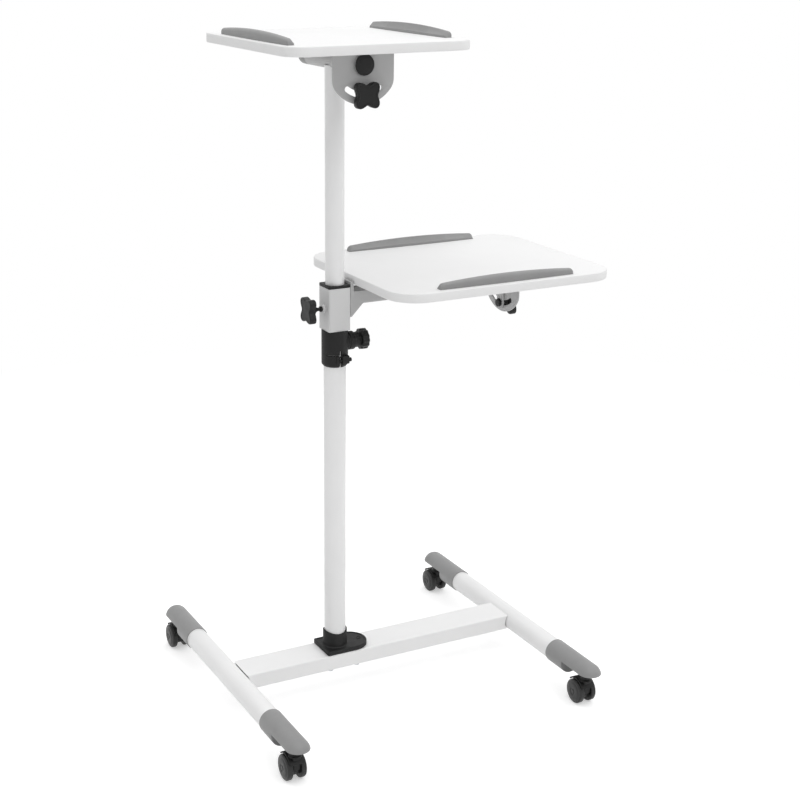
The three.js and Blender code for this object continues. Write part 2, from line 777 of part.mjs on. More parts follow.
function shelfArm() {
  const start = sleeveWidth / 2 + seatGap;
  const end = start + armLength;
  const point = (x, rise) => new THREE.Vector2(x, sleeveRestHeight + rise);
  const cheekOutline = [
    point(start, armBottomRise),
    point(start + armWebThickness, armBottomRise),
    point(start + armGussetLength, armBeamBottomRise),
    point(end, armBeamBottomRise),
    point(end, armBeamTopRise),
    point(start + armShoulderLength, armBeamTopRise),
    point(start + armShoulderLength, armTopRise),
    point(start, armTopRise),
  ];
  const clearWidth = pivotTubeDiameter + 2 * seatGap;
  const cheeks = [-1, 1].map((side) => prism(cheekOutline, armCheekThickness)
    .rotateX(Math.PI / 2)
    .translate(0, (side * (clearWidth + armCheekThickness)) / 2 + armCheekThickness / 2, 0));
  const web = block(armWebThickness, clearWidth + armCheekThickness, armTopRise - armBottomRise)
    .translate(start + armWebThickness / 2, 0, sleeveRestHeight + armBottomRise);
  return joined(...cheeks, web);
}

// Tilt heads, drawn around the pivot axis with the slotted bracket at the -Y end

const lugFrontReach = bracketReach - bracketThickness - faceGap;
const bracketTop = pivotDrop - seatGap;
const pivotTubeReach = bracketReach + pivotTubeOverhang;
const topTubeRearReach = journalEarReach - bracketThickness - faceGap;
const journalEar = { reach: journalEarReach, diameter: pivotTubeDiameter, bearing: journalDiameter };
const sleevedEar = { reach: sleevedEarReach, diameter: sleevedEarDiameter, bearing: pivotTubeDiameter };

function pivotTube(rearReach) {
  const radius = pivotTubeDiameter / 2;
  const length = pivotTubeReach + rearReach;
  const tube = alongY(pipe(radius, radius - pivotTubeWall, length)).translate(0, -pivotTubeReach, 0);
  const halfWidth = lugWidth / 2;
  const lugTop = -Math.sqrt((radius - pivotTubeWall / 2) ** 2 - halfWidth ** 2);
  const lugOutline = [
    new THREE.Vector2(halfWidth, lugTop),
    new THREE.Vector2(-halfWidth, lugTop),
    ...arc(0, -bracketSlotRadius, halfWidth, Math.PI, 2 * Math.PI, cornerSteps),
  ];
  const lug = prism(lugOutline, lugThickness)
    .rotateX(Math.PI / 2)
    .translate(0, lugThickness - lugFrontReach, 0);
  const inside = alongY(rod(radius - pivotTubeWall / 2, length)).translate(0, -pivotTubeReach, 0);
  const boltHoleRadius = clampScrewDiameter / 2 + seatGap;
  const boltHole = alongY(rod(boltHoleRadius, lugThickness + 2 * cutOverrun, smallFacets))
    .translate(0, -lugFrontReach - cutOverrun, -bracketSlotRadius);
  return joined(tube, cutBy(lug, inside, boltHole));
}

function pivotCap() {
  const plugRadius = pivotTubeDiameter / 2 - pivotTubeWall - seatGap;
  const rimRadius = pivotCapDiameter / 2;
  const chamfer = pivotCapThickness / 3;
  return revolved([
    [0, pivotCapThickness],
    [rimRadius - chamfer, pivotCapThickness],
    [rimRadius, pivotCapThickness - chamfer],
    [rimRadius, 0],
    [plugRadius, 0],
    [plugRadius, -pivotCapPlugLength],
    [plugRadius - pivotCapPlugWall, -pivotCapPlugLength],
    [plugRadius - pivotCapPlugWall, 0],
    [0, 0],
  ]);
}

function frontPivotCap() {
  return pivotCap().rotateX(Math.PI / 2).translate(0, -pivotTubeReach - seatGap, 0);
}

// The long rear cap of the top head carries the ear on a journal between its head and the tube
function journalCap() {
  const plugRadius = pivotTubeDiameter / 2 - pivotTubeWall - seatGap;
  const journalRadius = journalDiameter / 2;
  const headRadius = pivotTubeDiameter / 2;
  const chamfer = pivotCapThickness / 2;
  const headStart = 2 * faceGap + bracketThickness;
  const headEnd = headStart + journalHeadLength;
  const profile = [
    [0, headEnd],
    [headRadius - chamfer, headEnd],
    [headRadius, headEnd - chamfer],
    [headRadius, headStart],
    [journalRadius, headStart],
    [journalRadius, 0],
    [plugRadius, 0],
    [plugRadius, -pivotCapPlugLength],
    [0, -pivotCapPlugLength],
  ];
  return alongY(revolved(profile)).translate(0, topTubeRearReach, 0);
}

function bearingHole(diameter) {
  return arc(0, 0, diameter / 2 + runningGap, 2 * Math.PI, 0, roundFacets).slice(1);
}

function slotOutline() {
  const middle = -Math.PI / 2;
  const halfWidth = bracketSlotWidth / 2;
  const reach = bracketSlotHalfAngle - Math.asin(halfWidth / bracketSlotRadius);
  const along = (angle) => [bracketSlotRadius * Math.cos(angle), bracketSlotRadius * Math.sin(angle)];
  const first = middle - reach;
  const last = middle + reach;
  const half = noseSteps;
  return [
    ...arc(0, 0, bracketSlotRadius + halfWidth, first, last, 2 * cornerSteps),
    ...arc(...along(last), halfWidth, last, last + Math.PI, half).slice(1, half),
    ...arc(0, 0, bracketSlotRadius - halfWidth, last, first, 2 * cornerSteps),
    ...arc(...along(first), halfWidth, first + Math.PI, first + 2 * Math.PI, half).slice(1, half),
  ];
}

function screwHoles(side, y) {
  return [-side, side].map((x) => rod(boardScrewDiameter / 2 + seatGap, pivotDrop, smallFacets)
    .translate(x, y, bracketTop - pivotDrop / 2));
}

// Straight sides run through a round corner into the arc below the slot
function slottedPlate() {
  const halfWidth = bracketWidth / 2;
  const cornerX = halfWidth - bracketCornerRadius;
  const cornerY = -Math.sqrt((bracketRadius - bracketCornerRadius) ** 2 - cornerX ** 2);
  const slope = Math.atan2(cornerY, cornerX);
  const arcStart = -Math.PI - slope;
  return prism([
    new THREE.Vector2(-halfWidth, bracketTop),
    ...arc(-cornerX, cornerY, bracketCornerRadius, -Math.PI, arcStart, noseSteps),
    ...arc(0, 0, bracketRadius, arcStart, slope, 2 * cornerSteps).slice(1, 2 * cornerSteps),
    ...arc(cornerX, cornerY, bracketCornerRadius, slope, 0, noseSteps),
    new THREE.Vector2(halfWidth, bracketTop),
  ], bracketThickness, [bearingHole(pivotTubeDiameter), slotOutline()])
    .rotateX(Math.PI / 2)
    .translate(0, bracketThickness - bracketReach, 0);
}

function earPlate({ reach, diameter, bearing }) {
  const radius = diameter / 2;
  return prism([
    new THREE.Vector2(radius, bracketTop),
    new THREE.Vector2(-radius, bracketTop),
    ...arc(0, 0, radius, Math.PI, 2 * Math.PI, 2 * cornerSteps),
  ], bracketThickness, [bearingHole(bearing)])
    .rotateX(Math.PI / 2)
    .translate(0, reach, 0);
}

function boardScrewPlaces(ear) {
  const frontInset = bracketScrewInset - bracketReach;
  const rearInset = ear.reach - bracketScrewInset;
  return [
    [-bracketScrewSide, frontInset],
    [bracketScrewSide, frontInset],
    [-earScrewSide, rearInset],
    [earScrewSide, rearInset],
  ];
}

function boardScrewHoles(ear, floor, depth) {
  return boardScrewPlaces(ear).map(([x, y]) => (
    rod(boardScrewDiameter / 2 + seatGap, depth, smallFacets).translate(x, y, floor)
  ));
}

function shelfBracket(ear) {
  const front = bracketWidth / 2;
  const tail = bracketTailWidth / 2;
  const base = prism([
    new THREE.Vector2(-front, -bracketReach),
    new THREE.Vector2(front, -bracketReach),
    new THREE.Vector2(front, -bracketReach + bracketShoulder),
    new THREE.Vector2(tail, ear.reach - bracketShoulder),
    new THREE.Vector2(tail, ear.reach),
    new THREE.Vector2(-tail, ear.reach),
    new THREE.Vector2(-tail, ear.reach - bracketShoulder),
    new THREE.Vector2(-front, -bracketReach + bracketShoulder),
  ], bracketThickness).translate(0, 0, bracketTop - bracketThickness);
  const holeFloor = bracketTop - bracketThickness - cutOverrun;
  const holes = boardScrewHoles(ear, holeFloor, bracketThickness + 2 * cutOverrun);
  return cutBy(joined(slottedPlate(), earPlate(ear), base), ...holes);
}

function clampBolt() {
  const headTop = -lugFrontReach + lugThickness + seatGap;
  const knobDepth = lobeKnobHubLength + lobeKnobThickness - lobeKnobFrontWall;
  const tip = bracketReach + faceGap + knobDepth - seatGap;
  const shank = alongY(rod(clampScrewDiameter / 2, tip + headTop + clampBoltHeadHeight / 2, smallFacets))
    .translate(0, -tip, -bracketSlotRadius);
  const head = alongY(rod(clampBoltHeadDiameter / 2, clampBoltHeadHeight, hexFacets))
    .translate(0, headTop, -bracketSlotRadius);
  return joined(shank, head);
}

function tiltKnob() {
  return nutKnob().rotateX(Math.PI / 2).translate(0, -bracketReach - faceGap, -bracketSlotRadius);
}

// Shelf boards and their stop bars

const boardUnderside = pivotDrop;

function stopHalfWidth(share) {
  return (stopWidth - (stopWidth - stopTipWidth) * share ** 2) / 2;
}

// The top edge rolls down over the last stretch of the bar
function stopEndDrop(share) {
  const intoEnd = Math.max(0, (Math.abs(share) * stopLength) / 2 - stopLength / 2 + stopEndRounding);
  return stopEndRounding - Math.sqrt(Math.max(0, stopEndRounding ** 2 - intoEnd ** 2));
}

// The bar's inner side, which faces what stands on the board, leans back and looks to +Y
function stopRing(share) {
  const halfWidth = stopHalfWidth(share);
  const height = stopCrown - (stopCrown - stopEndHeight) * share ** 2 - stopEndDrop(share);
  const section = [
    [halfWidth, 0],
    [halfWidth, height * stopInnerFootShare],
    [halfWidth * stopCrestInnerShare, height],
    [-halfWidth * stopCrestOuterShare, height],
    [-halfWidth, height * stopOuterSideShare],
    [-halfWidth, 0],
  ];
  return section.map(([y, z]) => new THREE.Vector3((share * stopLength) / 2, y, z));
}

function stopShares() {
  const roundingShare = (2 * stopEndRounding) / stopLength;
  const straightShare = 1 - roundingShare;
  const middle = Array.from({ length: stopSteps + 1 }, (_, step) => (
    straightShare * ((2 * step) / stopSteps - 1)
  ));
  const end = Array.from({ length: noseSteps }, (_, step) => (
    straightShare + roundingShare * Math.sin((Math.PI * (step + 1)) / (2 * noseSteps))
  ));
  return [...end.map((share) => -share).reverse(), ...middle, ...end];
}

function stopBar() {
  const rings = stopShares().map(stopRing);
  const count = rings[0].length;
  const index = [];
  for (let ring = 0; ring < rings.length - 1; ring += 1) {
    for (let corner = 0; corner < count; corner += 1) {
      const a = ring * count + corner;
      const b = ring * count + ((corner + 1) % count);
      index.push(a, a + count, b, b, a + count, b + count);
    }
  }
  const lastRing = (rings.length - 1) * count;
  for (let corner = 1; corner < count - 1; corner += 1) {
    index.push(0, corner, corner + 1);
    index.push(lastRing, lastRing + corner + 1, lastRing + corner);
  }
  const geometry = new THREE.BufferGeometry().setFromPoints(rings.flat());
  geometry.setIndex(index);
  return geometry;
}

// The shallow seat that the bar stands in
function stopSeat() {
  const reach = stopLength / 2 + seatGap;
  const near = stopShares().map((share) => (
    new THREE.Vector2(share * reach, -stopHalfWidth(share) - seatGap)
  ));
  const far = near.map(({ x, y }) => new THREE.Vector2(x, -y)).reverse();
  return prism([...near, ...far], stopRebate + cutOverrun);
}

function onBoard(geometry, { turn, x, y }, height) {
  return geometry.rotateZ(turn).translate(x, y, height);
}

const boardTop = boardUnderside + boardThickness;

function shelfBoard(width, depth, radius, centreY, ear, stopPlaces) {
  const board = prism(roundedRectangle(width, depth, radius, cornerSteps), boardThickness)
    .translate(0, centreY, boardUnderside);
  const holes = boardScrewHoles(ear, boardUnderside - cutOverrun, boardScrewHoleDepth + cutOverrun);
  const seats = stopPlaces.map((place) => onBoard(stopSeat(), place, boardTop - stopRebate));
  return cutBy(board, ...holes, ...seats);
}

function addTiltingShelf(head, name, ear, board, stopPlaces) {
  addPiece(head, `${name}_shelf_board`, board, finishes.whiteLaminate);
  addPiece(head, `${name}_shelf_bracket`, shelfBracket(ear), finishes.greyEnamel);
  for (const place of stopPlaces) {
    const bar = onBoard(stopBar(), place, boardTop - stopRebate + seatGap);
    addPiece(head, `${name}_stop_${place.tag}`, bar, finishes.greyPlastic);
  }
  addPiece(head, `${name}_clamp_bolt`, clampBolt(), finishes.blackPlastic);
  addPiece(head, `${name}_tilt_knob`, tiltKnob(), finishes.blackPlastic);
}

// The top head's tube runs front to back

function addTopHead() {
  const head = addGroup(stand, 0, 0, topPivotHeight);
  addPiece(head, 'top_pivot_tube', pivotTube(topTubeRearReach), finishes.greyEnamel);
  addPiece(head, 'top_pivot_cap_front', frontPivotCap(), finishes.blackPlastic);
  addPiece(head, 'top_pivot_cap_rear', journalCap(), finishes.greyPlastic);
  const stopReach = topBoardWidth / 2 - stopInset;
  const stopPlaces = [
    { tag: 'left', turn: -Math.PI / 2, x: -stopReach, y: -topStopStagger },
    { tag: 'right', turn: Math.PI / 2, x: stopReach, y: topStopStagger },
  ];
  const board = shelfBoard(topBoardWidth, topBoardDepth, topBoardCornerRadius, 0, journalEar, stopPlaces);
  addTiltingShelf(head, 'top', journalEar, board, stopPlaces);
}

// The lower head is the same one turned a quarter: its -Y end points to +X of the cart

function addLowerHead() {
  const head = addGroup(stand, shelfHeadReach, 0, sleeveRestHeight + shelfPivotRise, Math.PI / 2);
  const rearReach = shelfHeadReach - sleeveWidth / 2 - armWebThickness - 2 * seatGap;
  addPiece(head, 'lower_pivot_tube', pivotTube(rearReach), finishes.greyEnamel);
  addPiece(head, 'lower_pivot_cap', frontPivotCap(), finishes.blackPlastic);
  const boardCentre = shelfHeadReach - lowerBoardGap - lowerBoardWidth / 2;
  const stopReach = lowerBoardDepth / 2 - stopInset;
  const stopCentre = boardCentre + lowerStopShift;
  const stopPlaces = [
    { tag: 'front', turn: -Math.PI / 2, x: -stopReach, y: stopCentre },
    { tag: 'rear', turn: Math.PI / 2, x: stopReach, y: stopCentre },
  ];
  const board = shelfBoard(
    lowerBoardDepth,
    lowerBoardWidth,
    lowerBoardCornerRadius,
    boardCentre,
    sleevedEar,
    stopPlaces,
  );
  addTiltingShelf(head, 'lower', sleevedEar, board, stopPlaces);
}

function addMast() {
  addPiece(stand, 'mast_socket', mastSocket(), finishes.blackPlastic);
  for (const { tag, x, y } of socketBoltPlaces) {
    addPiece(addGroup(stand, x, y, 0), `socket_bolt_${tag}`, socketBolt(), finishes.zincSteel);
  }
  addPiece(stand, 'lower_mast_tube', lowerMastTube(), finishes.whiteEnamel);
  addPiece(stand, 'clamp_collar', clampCollar(), finishes.blackPlastic);
  addPiece(stand, 'collar_pinch_screw', pinchScrew(), finishes.blackPlastic);
  addCollarKnob();
  addPiece(stand, 'mast_glide_bush', mastGlideBush(), finishes.blackPlastic);
  addPiece(stand, 'upper_mast_tube', upperMastTube(), finishes.whiteEnamel);
}

function addCarriage() {
  addPiece(stand, 'shelf_sleeve', squareSleeve(), finishes.sleeveEnamel);
  addPiece(stand, 'sleeve_lining', sleeveLining(), finishes.blackPlastic);
  addPiece(stand, 'sleeve_glide_ring', glideRing(), finishes.blackPlastic);
  addPiece(stand, 'shelf_arm', shelfArm(), finishes.greyEnamel);
  const standOff = sleeveWidth / 2 + sleeveKnobStandOff;
  const screwLength = standOff - upperTubeDiameter / 2 - seatGap;
  const knob = screwKnob(screwLength).rotateY(-Math.PI / 2).translate(-standOff, 0, sleeveKnobHeight);
  addPiece(stand, 'sleeve_knob', knob, finishes.blackPlastic);
}

addBase();
addMast();
addCarriage();
addTopHead();
addLowerHead();

export default cart;
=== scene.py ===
import json
import math

import bmesh
import bpy
from bpy.props import FloatProperty, FloatVectorProperty, IntProperty, PointerProperty
from bpy.types import Operator, Panel, PropertyGroup
from mathutils import Matrix, Vector

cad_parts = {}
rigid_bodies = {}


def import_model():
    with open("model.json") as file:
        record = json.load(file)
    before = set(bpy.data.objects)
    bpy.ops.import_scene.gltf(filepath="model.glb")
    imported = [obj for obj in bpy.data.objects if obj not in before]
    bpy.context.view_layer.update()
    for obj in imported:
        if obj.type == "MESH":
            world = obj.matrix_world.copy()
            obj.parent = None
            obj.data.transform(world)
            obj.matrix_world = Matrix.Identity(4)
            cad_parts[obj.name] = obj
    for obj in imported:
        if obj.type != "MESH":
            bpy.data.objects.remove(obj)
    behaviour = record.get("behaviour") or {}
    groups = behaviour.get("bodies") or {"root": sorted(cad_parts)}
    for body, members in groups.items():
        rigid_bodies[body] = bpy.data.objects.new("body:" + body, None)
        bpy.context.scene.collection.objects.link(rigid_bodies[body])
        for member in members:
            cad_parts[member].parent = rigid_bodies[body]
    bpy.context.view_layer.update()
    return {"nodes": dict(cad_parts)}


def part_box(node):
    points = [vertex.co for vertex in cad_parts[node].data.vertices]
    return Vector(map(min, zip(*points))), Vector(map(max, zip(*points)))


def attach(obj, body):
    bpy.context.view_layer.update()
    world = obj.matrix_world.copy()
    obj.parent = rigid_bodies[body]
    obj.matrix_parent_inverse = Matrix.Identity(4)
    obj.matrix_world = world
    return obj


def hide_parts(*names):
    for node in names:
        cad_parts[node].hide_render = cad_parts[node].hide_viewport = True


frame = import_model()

bl_info = {
    "name": "Audio visual cart",
    "version": (1, 0, 0),
    "blender": (4, 5, 0),
    "location": "3D View > Sidebar > Cart",
    "description": "Builds a rolling cart with two tilting shelves on a telescopic mast",
    "category": "Add Mesh",
}

# Units: every length below is in millimetres, and add_piece() turns it to metres.
MM = 0.001

QUARTER_TURN = math.pi / 2
HALF_TURN = math.pi
FULL_TURN = 2 * math.pi

# How far a cut reaches past what it cuts, and the running gap between two fitted pieces
OVERRUN = 3
SEAT_GAP = 0.3

# Facets round a full turn, from the tubes down to the screw holes
TUBE_FACETS = 96
HUB_FACETS = 64
BOSS_FACETS = 48
SHANK_FACETS = 32
HOLE_FACETS = 24

# Points closer than this are merged, in a turned piece and in one put together by cuts
TURNED_MERGE = 0.001
CUT_MERGE = 0.002
# Faces that turn by less than this, in radians, are one flat face
FLAT_TURN = 0.002
# Edges that turn by more than this, in degrees, are rounded: in any solid, and in a plate whose
# outline has round stretches. Edges that turn by less than the last are shaded smoothly.
SHARP_ANGLE = 50
PLATE_SHARP_ANGLE = 60
SMOOTH_ANGLE = 38


def linear(code):
    """Turns an sRGB hex colour to the linear values that shaders read."""
    parts = [int(code[i:i + 2], 16) / 255 for i in (0, 2, 4)]
    return tuple(c / 12.92 if c <= 0.04045 else ((c + 0.055) / 1.055) ** 2.4 for c in parts)


def node_box(node):
    """Lowest and highest corner of a CAD node in millimetres."""
    low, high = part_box(node)
    return low / MM, high / MM


def node_middle(node):
    low, high = node_box(node)
    return (low + high) / 2


def node_span(node):
    low, high = node_box(node)
    return high - low


# Frames of the cart, each in the shared frame

def frame_at(x, y, z, turn=0.0):
    return Matrix.Translation((x, y, z)) @ Matrix.Rotation(turn, 4, "Z")


ALONG_X = Matrix.Rotation(QUARTER_TURN, 4, "Y")
AGAINST_X = Matrix.Rotation(-QUARTER_TURN, 4, "Y")
ALONG_Y = Matrix.Rotation(-QUARTER_TURN, 4, "X")
AGAINST_Y = Matrix.Rotation(QUARTER_TURN, 4, "X")
# An outline in X and Y that is drawn out along Z comes to stand in Y and Z, drawn out along X
OUTLINE_IN_YZ = Matrix(((0, 0, 1, 0), (1, 0, 0, 0), (0, 1, 0, 0), (0, 0, 0, 1)))
# The same for an outline that comes to stand in X and Z and is drawn out towards -Y
OUTLINE_IN_XZ = Matrix(((1, 0, 0, 0), (0, 0, -1, 0), (0, 1, 0, 0), (0, 0, 0, 1)))

MAST = node_middle("lower_mast_tube")
STAND = frame_at(MAST.x, 0, 0)
TOP_PIVOT = node_middle("top_pivot_cap_front").z
LOWER_PIVOT = node_middle("lower_pivot_cap").z
LOWER_HEAD_REACH = 231
TOP_HEAD = frame_at(MAST.x, 0, TOP_PIVOT)
LOWER_HEAD = frame_at(MAST.x + LOWER_HEAD_REACH, 0, LOWER_PIVOT, QUARTER_TURN)
TAGS = ("front_left", "front_right", "rear_left", "rear_right")


# Properties

class CartSizes(PropertyGroup):
    steel_edge: FloatProperty(
        name="Sheet steel edge",
        description="Rounding of the bracket and arm edges, in millimetres",
        default=0.5, min=0.1, max=1.0, subtype="DISTANCE")
    moulded_edge: FloatProperty(
        name="Moulded edge",
        description="Rounding of the small moulded edges, in millimetres",
        default=0.6, min=0.1, max=1.2, subtype="DISTANCE")
    board_edge: FloatProperty(
        name="Board edge",
        description="Rounding of the shelf board edges, in millimetres",
        default=1.6, min=0.3, max=4.0, subtype="DISTANCE")
    beam_corner: FloatProperty(
        name="Beam corner",
        description="Outer corner radius of the cross beam, in millimetres",
        default=2.6, min=1.0, max=6.0, subtype="DISTANCE")
    facets: IntProperty(
        name="Facets",
        description="Facets round a tube",
        default=TUBE_FACETS, min=24, max=128)


class CartColours(PropertyGroup):
    white_enamel: FloatVectorProperty(
        name="White enamel", description="Powder coat of the legs, beam and mast",
        default=linear("f5f5f5"), size=3, min=0, max=1, subtype="COLOR")
    white_laminate: FloatVectorProperty(
        name="White laminate", description="Melamine face of the shelf boards",
        default=linear("f1f1f1"), size=3, min=0, max=1, subtype="COLOR")
    board_edging: FloatVectorProperty(
        name="Board edging", description="Edge band round the shelf boards",
        default=linear("f0f0f0"), size=3, min=0, max=1, subtype="COLOR")
    grey_enamel: FloatVectorProperty(
        name="Grey enamel", description="Powder coat of the brackets, pivot tubes and arm",
        default=linear("b2b2b2"), size=3, min=0, max=1, subtype="COLOR")
    grey_plastic: FloatVectorProperty(
        name="Grey plastic", description="Moulded leg caps, rear cap and stop bars",
        default=linear("929292"), size=3, min=0, max=1, subtype="COLOR")
    sleeve_enamel: FloatVectorProperty(
        name="Sleeve enamel", description="Light grey coat of the square sleeve",
        default=linear("d2d2d2"), size=3, min=0, max=1, subtype="COLOR")
    black_plastic: FloatVectorProperty(
        name="Black plastic", description="Moulded knobs, collar, socket and casters",
        default=linear("1e1e1e"), size=3, min=0, max=1, subtype="COLOR")
    zinc_steel: FloatVectorProperty(
        name="Zinc steel", description="Plated bolts, stems and axles",
        default=linear("c3c5c8"), size=3, min=0, max=1, subtype="COLOR")


class CartStudio(PropertyGroup):
    key_power: FloatProperty(
        name="Key light", description="Power of the large light above the front",
        default=15.0, min=0, subtype="POWER")
    fill_power: FloatProperty(
        name="Fill light", description="Power of the light at the right",
        default=7.0, min=0, subtype="POWER")
    top_power: FloatProperty(
        name="Top light", description="Power of the large light above the cart",
        default=298.0, min=0, subtype="POWER")
    sky_strength: FloatProperty(
        name="Room light", description="Strength of the even light of the room",
        default=0.46, min=0, max=2, subtype="FACTOR")


# Meshes, drawn in millimetres

def wire(bm, corners, closed=True):
    """Adds a chain of edges through corners of (x, y) or (x, y, z) and returns its corners."""
    verts = [bm.verts.new((*corner, 0.0)[:3]) for corner in corners]
    ends = verts[1:] + verts[:1] if closed else verts[1:]
    for pair in zip(verts, ends):
        bm.edges.new(pair)
    return verts


def bevelled(bm, geom, width, segments, affect):
    bmesh.ops.bevel(bm, geom=geom, offset=width, offset_type="OFFSET", segments=segments,
                    profile=0.5, affect=affect, material=-1, clamp_overlap=affect == "EDGES")


def round_corners(bm, verts, radii, segments):
    """Rounds each corner of a chain of edges by its own radius."""
    for radius in sorted(set(radii)):
        chosen = [v for v, r in zip(verts, radii) if r == radius and v.is_valid]
        if radius and chosen:
            bevelled(bm, chosen, radius, segments, "VERTICES")


def lathe(profile, facets=TUBE_FACETS, segments=4, closed=False):
    """Spins a profile of (radius, height, rounding) corners about Z. A corner of two is sharp."""
    bm = bmesh.new()
    verts = wire(bm, [(corner[0], 0.0, corner[1]) for corner in profile], closed)
    radii = [corner[2] if len(corner) > 2 else 0 for corner in profile]
    round_corners(bm, verts, radii, segments)
    bmesh.ops.spin(bm, geom=bm.verts[:] + bm.edges[:], cent=(0, 0, 0), axis=(0, 0, 1),
                   dvec=(0, 0, 0), angle=FULL_TURN, steps=facets, use_merge=True,
                   use_duplicate=False)
    bmesh.ops.remove_doubles(bm, verts=bm.verts[:], dist=TURNED_MERGE)
    bmesh.ops.recalc_face_normals(bm, faces=bm.faces[:])
    return bm


def moved(profile, out=0, up=0):
    """The corners of a lathe profile, moved outwards and up."""
    return [(out + corner[0], up + corner[1], *corner[2:]) for corner in profile]


def pipe(outer, inner, length, facets=TUBE_FACETS, edge=0.25):
    return lathe([(outer, 0, edge), (outer, length, edge), (inner, length, edge),
                  (inner, 0, edge)], facets, 2, closed=True)


def rod(radius, length, edge=0.3, facets=HUB_FACETS):
    return lathe([(0, 0), (radius, 0, edge), (radius, length, edge), (0, length)], facets, 2)


def bore(radius, length, facets=TUBE_FACETS):
    """A sharp-edged rod that cuts a round hole."""
    return rod(radius, length, 0, facets)


def arc(centre_x, centre_y, radius, start, end, steps):
    """Points on an arc, both ends included."""
    angles = [start + (end - start) * step / steps for step in range(steps + 1)]
    return [(centre_x + radius * math.cos(angle), centre_y + radius * math.sin(angle))
            for angle in angles]


def circle(radius, x=0.0, y=0.0, steps=HUB_FACETS):
    return arc(x, y, radius, 0, FULL_TURN, steps)[:-1]


def square(width):
    half = width / 2
    return [(-half, -half), (half, -half), (half, half), (-half, half)]


def soften(bm, width, segments=2, angle=SHARP_ANGLE, where=None):
    """Rounds the edges of a piece that turn by more than an angle in degrees."""
    limit = math.radians(angle)
    edges = [e for e in bm.edges if e.is_manifold and e.calc_face_angle(0) > limit
             and (where is None or where(e))]
    if edges and width:
        bevelled(bm, edges, width, segments, "EDGES")
    return bm


def drawn_out(bm, way):
    """Fills the outlines of a mesh and draws the face out to a solid."""
    bmesh.ops.triangle_fill(bm, use_beauty=True, use_dissolve=False, edges=bm.edges[:])
    bmesh.ops.dissolve_limit(bm, angle_limit=FLAT_TURN, use_dissolve_boundaries=False,
                             verts=bm.verts[:], edges=bm.edges[:])
    grown = bmesh.ops.extrude_face_region(bm, geom=bm.faces[:])
    far_verts = [item for item in grown["geom"] if isinstance(item, bmesh.types.BMVert)]
    bmesh.ops.translate(bm, verts=far_verts, vec=way)
    bmesh.ops.recalc_face_normals(bm, faces=bm.faces[:])
    return bm


def plate(corners, thickness, holes=(), radii=None, segments=6, edge=0.0, edge_segments=2):
    """Draws an outline, less its holes, out along Z and rounds its corners and its edges."""
    bm = bmesh.new()
    verts = wire(bm, corners)
    if radii is not None:
        radii = [radii] * len(verts) if isinstance(radii, (int, float)) else radii
        round_corners(bm, verts, radii, segments)
    for hole in holes:
        wire(bm, hole)
    drawn_out(bm, (0, 0, thickness))
    return soften(bm, edge, edge_segments, PLATE_SHARP_ANGLE) if edge else bm


def turned(bm, *matrices):
    """Moves and turns a mesh, the last matrix first."""
    for matrix in reversed(matrices):
        bmesh.ops.transform(bm, matrix=matrix, verts=bm.verts[:])
    return bm


def shifted(bm, x, y, z):
    bmesh.ops.translate(bm, verts=bm.verts[:], vec=(x, y, z))
    return bm


def block(width, depth, height, edge=0.0, segments=3):
    """A box on Z = 0 round the Z axis, with rounded edges."""
    bm = bmesh.new()
    bmesh.ops.create_cube(bm, size=1.0)
    bmesh.ops.scale(bm, vec=(width, depth, height), verts=bm.verts[:])
    shifted(bm, 0, 0, height / 2)
    return soften(bm, edge, segments) if edge else bm


def hexagon_prism(across_corners, height):
    bm = bmesh.new()
    bmesh.ops.create_cone(bm, cap_ends=True, cap_tris=False, segments=6, depth=height,
                          radius1=across_corners / 2, radius2=across_corners / 2)
    return shifted(bm, 0, 0, height / 2)


def work_object(name, data):
    """An object that lives only while a piece is made."""
    obj = bpy.data.objects.new(name, data)
    bpy.context.scene.collection.objects.link(obj)
    return obj


def work_solid(bm):
    mesh = bpy.data.meshes.new("work_solid")
    bm.to_mesh(mesh)
    bm.free()
    return work_object("work_solid", mesh)


def evaluated(obj):
    """The mesh that an object's modifiers or its curve settings give."""
    bpy.context.view_layer.update()
    depsgraph = bpy.context.evaluated_depsgraph_get()
    bm = bmesh.new()
    bm.from_mesh(obj.evaluated_get(depsgraph).to_mesh())
    return bm


def discard(objects):
    for obj in objects:
        bpy.data.batch_remove([obj, obj.data])


def combined(body, joins=(), cuts=(), keeps=()):
    """Joins solids to a body, takes others out of it, and keeps what lies inside the last."""
    base = work_solid(body)
    helpers = []
    for kind, solids in (("UNION", joins), ("DIFFERENCE", cuts), ("INTERSECT", keeps)):
        for solid in solids:
            helpers.append(work_solid(solid))
            step = base.modifiers.new("step", "BOOLEAN")
            step.operation = kind
            step.solver = "EXACT"
            step.object = helpers[-1]
    bm = evaluated(base)
    discard([base, *helpers])
    bmesh.ops.remove_doubles(bm, verts=bm.verts[:], dist=CUT_MERGE)
    bmesh.ops.dissolve_degenerate(bm, dist=CUT_MERGE, edges=bm.edges[:])
    return bm


def bead(points, radius, facets=6):
    """A round bead along a path, with closed ends."""
    curve = bpy.data.curves.new("work_path", "CURVE")
    curve.dimensions = "3D"
    curve.bevel_depth = radius
    curve.bevel_resolution = facets
    curve.use_fill_caps = True
    spline = curve.splines.new("POLY")
    spline.points.add(len(points) - 1)
    for point, place in zip(spline.points, points):
        point.co = (*place, 1.0)
    path = work_object("work_path", curve)
    bm = evaluated(path)
    discard([path])
    bmesh.ops.remove_doubles(bm, verts=bm.verts[:], dist=TURNED_MERGE)
    bmesh.ops.recalc_face_normals(bm, faces=bm.faces[:])
    return bm


def merged(*parts):
    """Puts several closed meshes that belong to one piece in one mesh."""
    whole = bmesh.new()
    for part in parts:
        mesh = bpy.data.meshes.new("work_part")
        part.to_mesh(mesh)
        part.free()
        whole.from_mesh(mesh)
        bpy.data.meshes.remove(mesh)
    return whole


